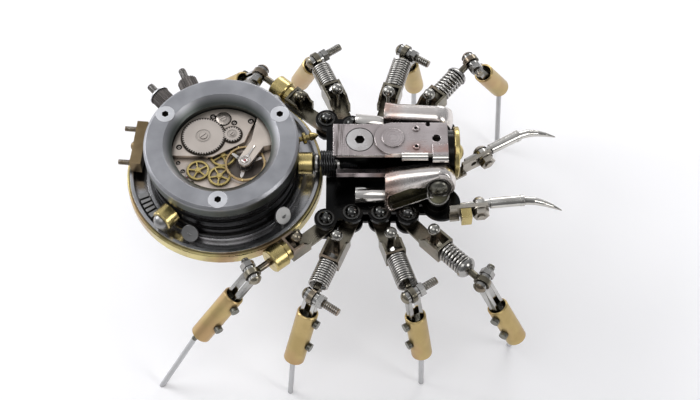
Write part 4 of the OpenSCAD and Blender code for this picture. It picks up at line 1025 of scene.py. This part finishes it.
def under_a_lever(lowest, highest):
    """Whether a shell of the bolts belongs to a lever's bolt, which lever_bolt() makes."""
    centre = (lowest + highest) / 2
    x, y = BOSS_SPOT[:2]
    return abs(centre.x - THORAX_X - x * MM) < 1 * MM and abs(abs(centre.y) - y * MM) < 3 * MM


def at_the_waist(lowest, highest):
    """Whether a shell of the bolts lies on the spider's middle line."""
    return max(abs(lowest.y), abs(highest.y)) < 5 * MM


def plain_bolts():
    """The hip bolts, black as the plates, and the waist's bolt, collar and washer, in steel."""
    hips = shells_of("chassis_bolts", lambda *ends: not under_a_lever(*ends) and not at_the_waist(*ends))
    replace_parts(piece("hip_bolts", hip_black, "body", hips), "chassis_bolts")
    waist = shells_of("chassis_bolts", at_the_waist)
    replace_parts(piece("waist_bolt", bolt_steel, "body", waist), "chassis_bolts")


waist_springs()
head_details()
plain_bolts()
for side in ("right", "left"):
    lever_casting(side)
    lever_bolt(side)
lever_strip()


# ---------------------------------------------------------------- fangs
# Ground steel points, each on a bolt through a plated lug; a brass block is
# clamped to the right-hand lug.
fang_steel = metal("fang_steel", (0.74, 0.72, 0.68), (0.52, 0.5, 0.46), (0.1, 0.24), marks=(80, 4200, 4200),
                   grain=0.15, grime_and_shade=0.9)
lug_steel = metal("lug_steel", (0.52, 0.48, 0.42), (0.36, 0.33, 0.28), (0.2, 0.36), marks=(4200, 4200, 300),
                  grime_and_shade=0.9)


BLOCK_HEIGHT = 4.6 * MM


def lug_shell(lowest, highest):
    """1 for the brass block, told by its height and its side, and 0 for the rest of the mounts."""
    return 1 if abs(highest.z - lowest.z - BLOCK_HEIGHT) < 0.05 * MM and highest.y < 0 else 0


dress_shells("fang_mounts", lug_shell, lug_steel, brass)
dress("fang_right", fang_steel)
dress("fang_left", fang_steel)


# ---------------------------------------------------------------- legs
# Each leg is a bent channel on the hip bolt, a rod through a spring to the
# knee, a forked link, and a brass tube with a bent wire foot set into it.
leg_steel = metal("leg_steel", (0.34, 0.308, 0.24), (0.1, 0.09, 0.066), (0.14, 0.32), grime_and_shade=1.0,
                  grime_and_shade_tone=(0.015, 0.013, 0.01), tint=(0.3, 0.22, 0.16))
spring_wire = metal("spring_wire", (0.6, 0.58, 0.55), (0.38, 0.365, 0.34), (0.14, 0.28), grime_and_shade=1.0,
                    grime_and_shade_tone=(0.015, 0.014, 0.012))
fork_steel = metal("fork_steel", (0.62, 0.61, 0.59), (0.3, 0.295, 0.28), (0.08, 0.2), marks=(1500, 1500, 200),
                   grain=0.1, grime_and_shade=1.0)
dull_wire = metal("dull_wire", (0.64, 0.64, 0.645), (0.52, 0.52, 0.525), (0.45, 0.62), grain=0.2, grime_and_shade=0.4)
brass_tube = metal("brass_tube", (0.6, 0.455, 0.215), (0.43, 0.32, 0.138), (0.3, 0.46), grain=0.2,
                   marks=(5200, 5200, 90), grime_and_shade_tone=(0.05, 0.03, 0.012), tint=(0.5, 0.33, 0.17))
FOLD_REACH = 8.4 * MM
ROD_HEIGHT = 46.6 * MM
SPRING_RADIUS = 2.9 * MM
CLOSE_WIRE = 0.7 * MM
CLOSE_PITCH = 1.28
OPEN_WIRE = 0.9 * MM
OPEN_TURNS = 6.5
CAP_HEIGHT = 2.4 * MM
CAP_RADIUS = 3.5 * MM
ROD_RADIUS = 1.1 * MM
BOLT_RADIUS = 1.15 * MM
BOLT_PITCH = 0.75 * MM
NUT_REACH = 4.4 * MM


def spring_seat(leg):
    """The frame of a leg's rod, from the hip's fold to the knee, and where its spring starts and ends."""
    hip = Vector(joints[leg + "_hip"]["pos_m"])
    knee = Vector(joints[leg + "_knee"]["pos_m"])
    outwards = Vector((knee.x - hip.x, knee.y - hip.y, 0)).normalized()
    fold = Vector((hip.x, hip.y, 0)) + FOLD_REACH * outwards + Vector((0, 0, ROD_HEIGHT))
    rod = (knee - fold).normalized()
    return along(fold, rod), *reach(f"leg_{leg}_spring", fold, rod, 5 * MM)


def close_spring(leg):
    """Wire wound nearly turn to turn over the rod."""
    place, start, end = spring_seat(leg)
    node = f"leg_{leg}_spring"
    mesh = bmesh.new()
    turns = (end - start) / (CLOSE_WIRE * CLOSE_PITCH)
    coil(mesh, place, SPRING_RADIUS, CLOSE_WIRE, start, end, turns, sides=10)
    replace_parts(piece(f"spring_{leg}", spring_wire, f"{leg}_femur", mesh), node)


def open_spring(leg):
    """Open spring that bears on a domed cap."""
    place, start, end = spring_seat(leg)
    node = f"leg_{leg}_spring"
    mesh = bmesh.new()
    coil(mesh, place, SPRING_RADIUS - 0.1 * MM, OPEN_WIRE, start, end - CAP_HEIGHT, OPEN_TURNS, 0.8, sides=12)
    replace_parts(piece(f"spring_{leg}", spring_wire, f"{leg}_femur", mesh), node)
    cap = bmesh.new()
    arc = [math.radians(a) for a in range(0, 75, 9)]
    dome = [(CAP_RADIUS * math.cos(a), CAP_HEIGHT * math.sin(a)) for a in arc]
    inside = [(ROD_RADIUS * 1.05, CAP_HEIGHT * math.sin(arc[-1])), (ROD_RADIUS * 1.05, 0)]
    lathe(cap, place @ Matrix.Translation((0, 0, end - CAP_HEIGHT)), dome + inside)
    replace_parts(piece(f"spring_cap_{leg}", bolt_steel, f"{leg}_femur", cap), node)


def knee_thread(leg):
    """The screw thread that stands out past the knee's nut."""
    knee = joints[leg + "_knee"]
    place, axis = Vector(knee["pos_m"]), Vector(knee["axis"]).normalized()
    first, last = reach(f"leg_{leg}_femur", place, axis, 1.3 * MM)
    if -first > last:
        axis, last = -axis, -first
    mesh = bmesh.new()
    thread(mesh, along(place, axis), BOLT_RADIUS, NUT_REACH, last - 0.15 * MM, BOLT_PITCH)
    piece(f"thread_{leg}", bolt_steel, f"{leg}_femur", mesh)


def femur_shell(lowest, highest):
    """1 for a slim upright shell, 2 for any other small one and 0 for the rest."""
    size = highest - lowest
    if size.x < 4 * MM and size.y < 4 * MM and size.z > 5 * MM:
        return 1
    return 2 if size.length < 7.5 * MM else 0


def dress_shin(leg):
    """Bright steel on the fork above the brass tube, dark set screws beside it and dull wire below."""
    bottom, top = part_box(f"leg_{leg}_sleeve")
    levels = (bottom.z + 1 * MM, top.z - 1.5 * MM)
    dress_faces(f"leg_{leg}_shin", lambda centre: sum(centre.z > level for level in levels),
                dull_wire, gunmetal, fork_steel)


for side in ("right", "left"):
    for number in range(1, 5):
        leg = f"{side}{number}"
        dress_shells(f"leg_{leg}_femur", femur_shell, leg_steel, ball_chrome, bolt_steel)
        dress(f"leg_{leg}_spring", brass)
        dress_shin(leg)
        dress(f"leg_{leg}_sleeve", brass_tube)
        if number in (2, 3):
            close_spring(leg)
        if number == 4:
            open_spring(leg)
        knee_thread(leg)
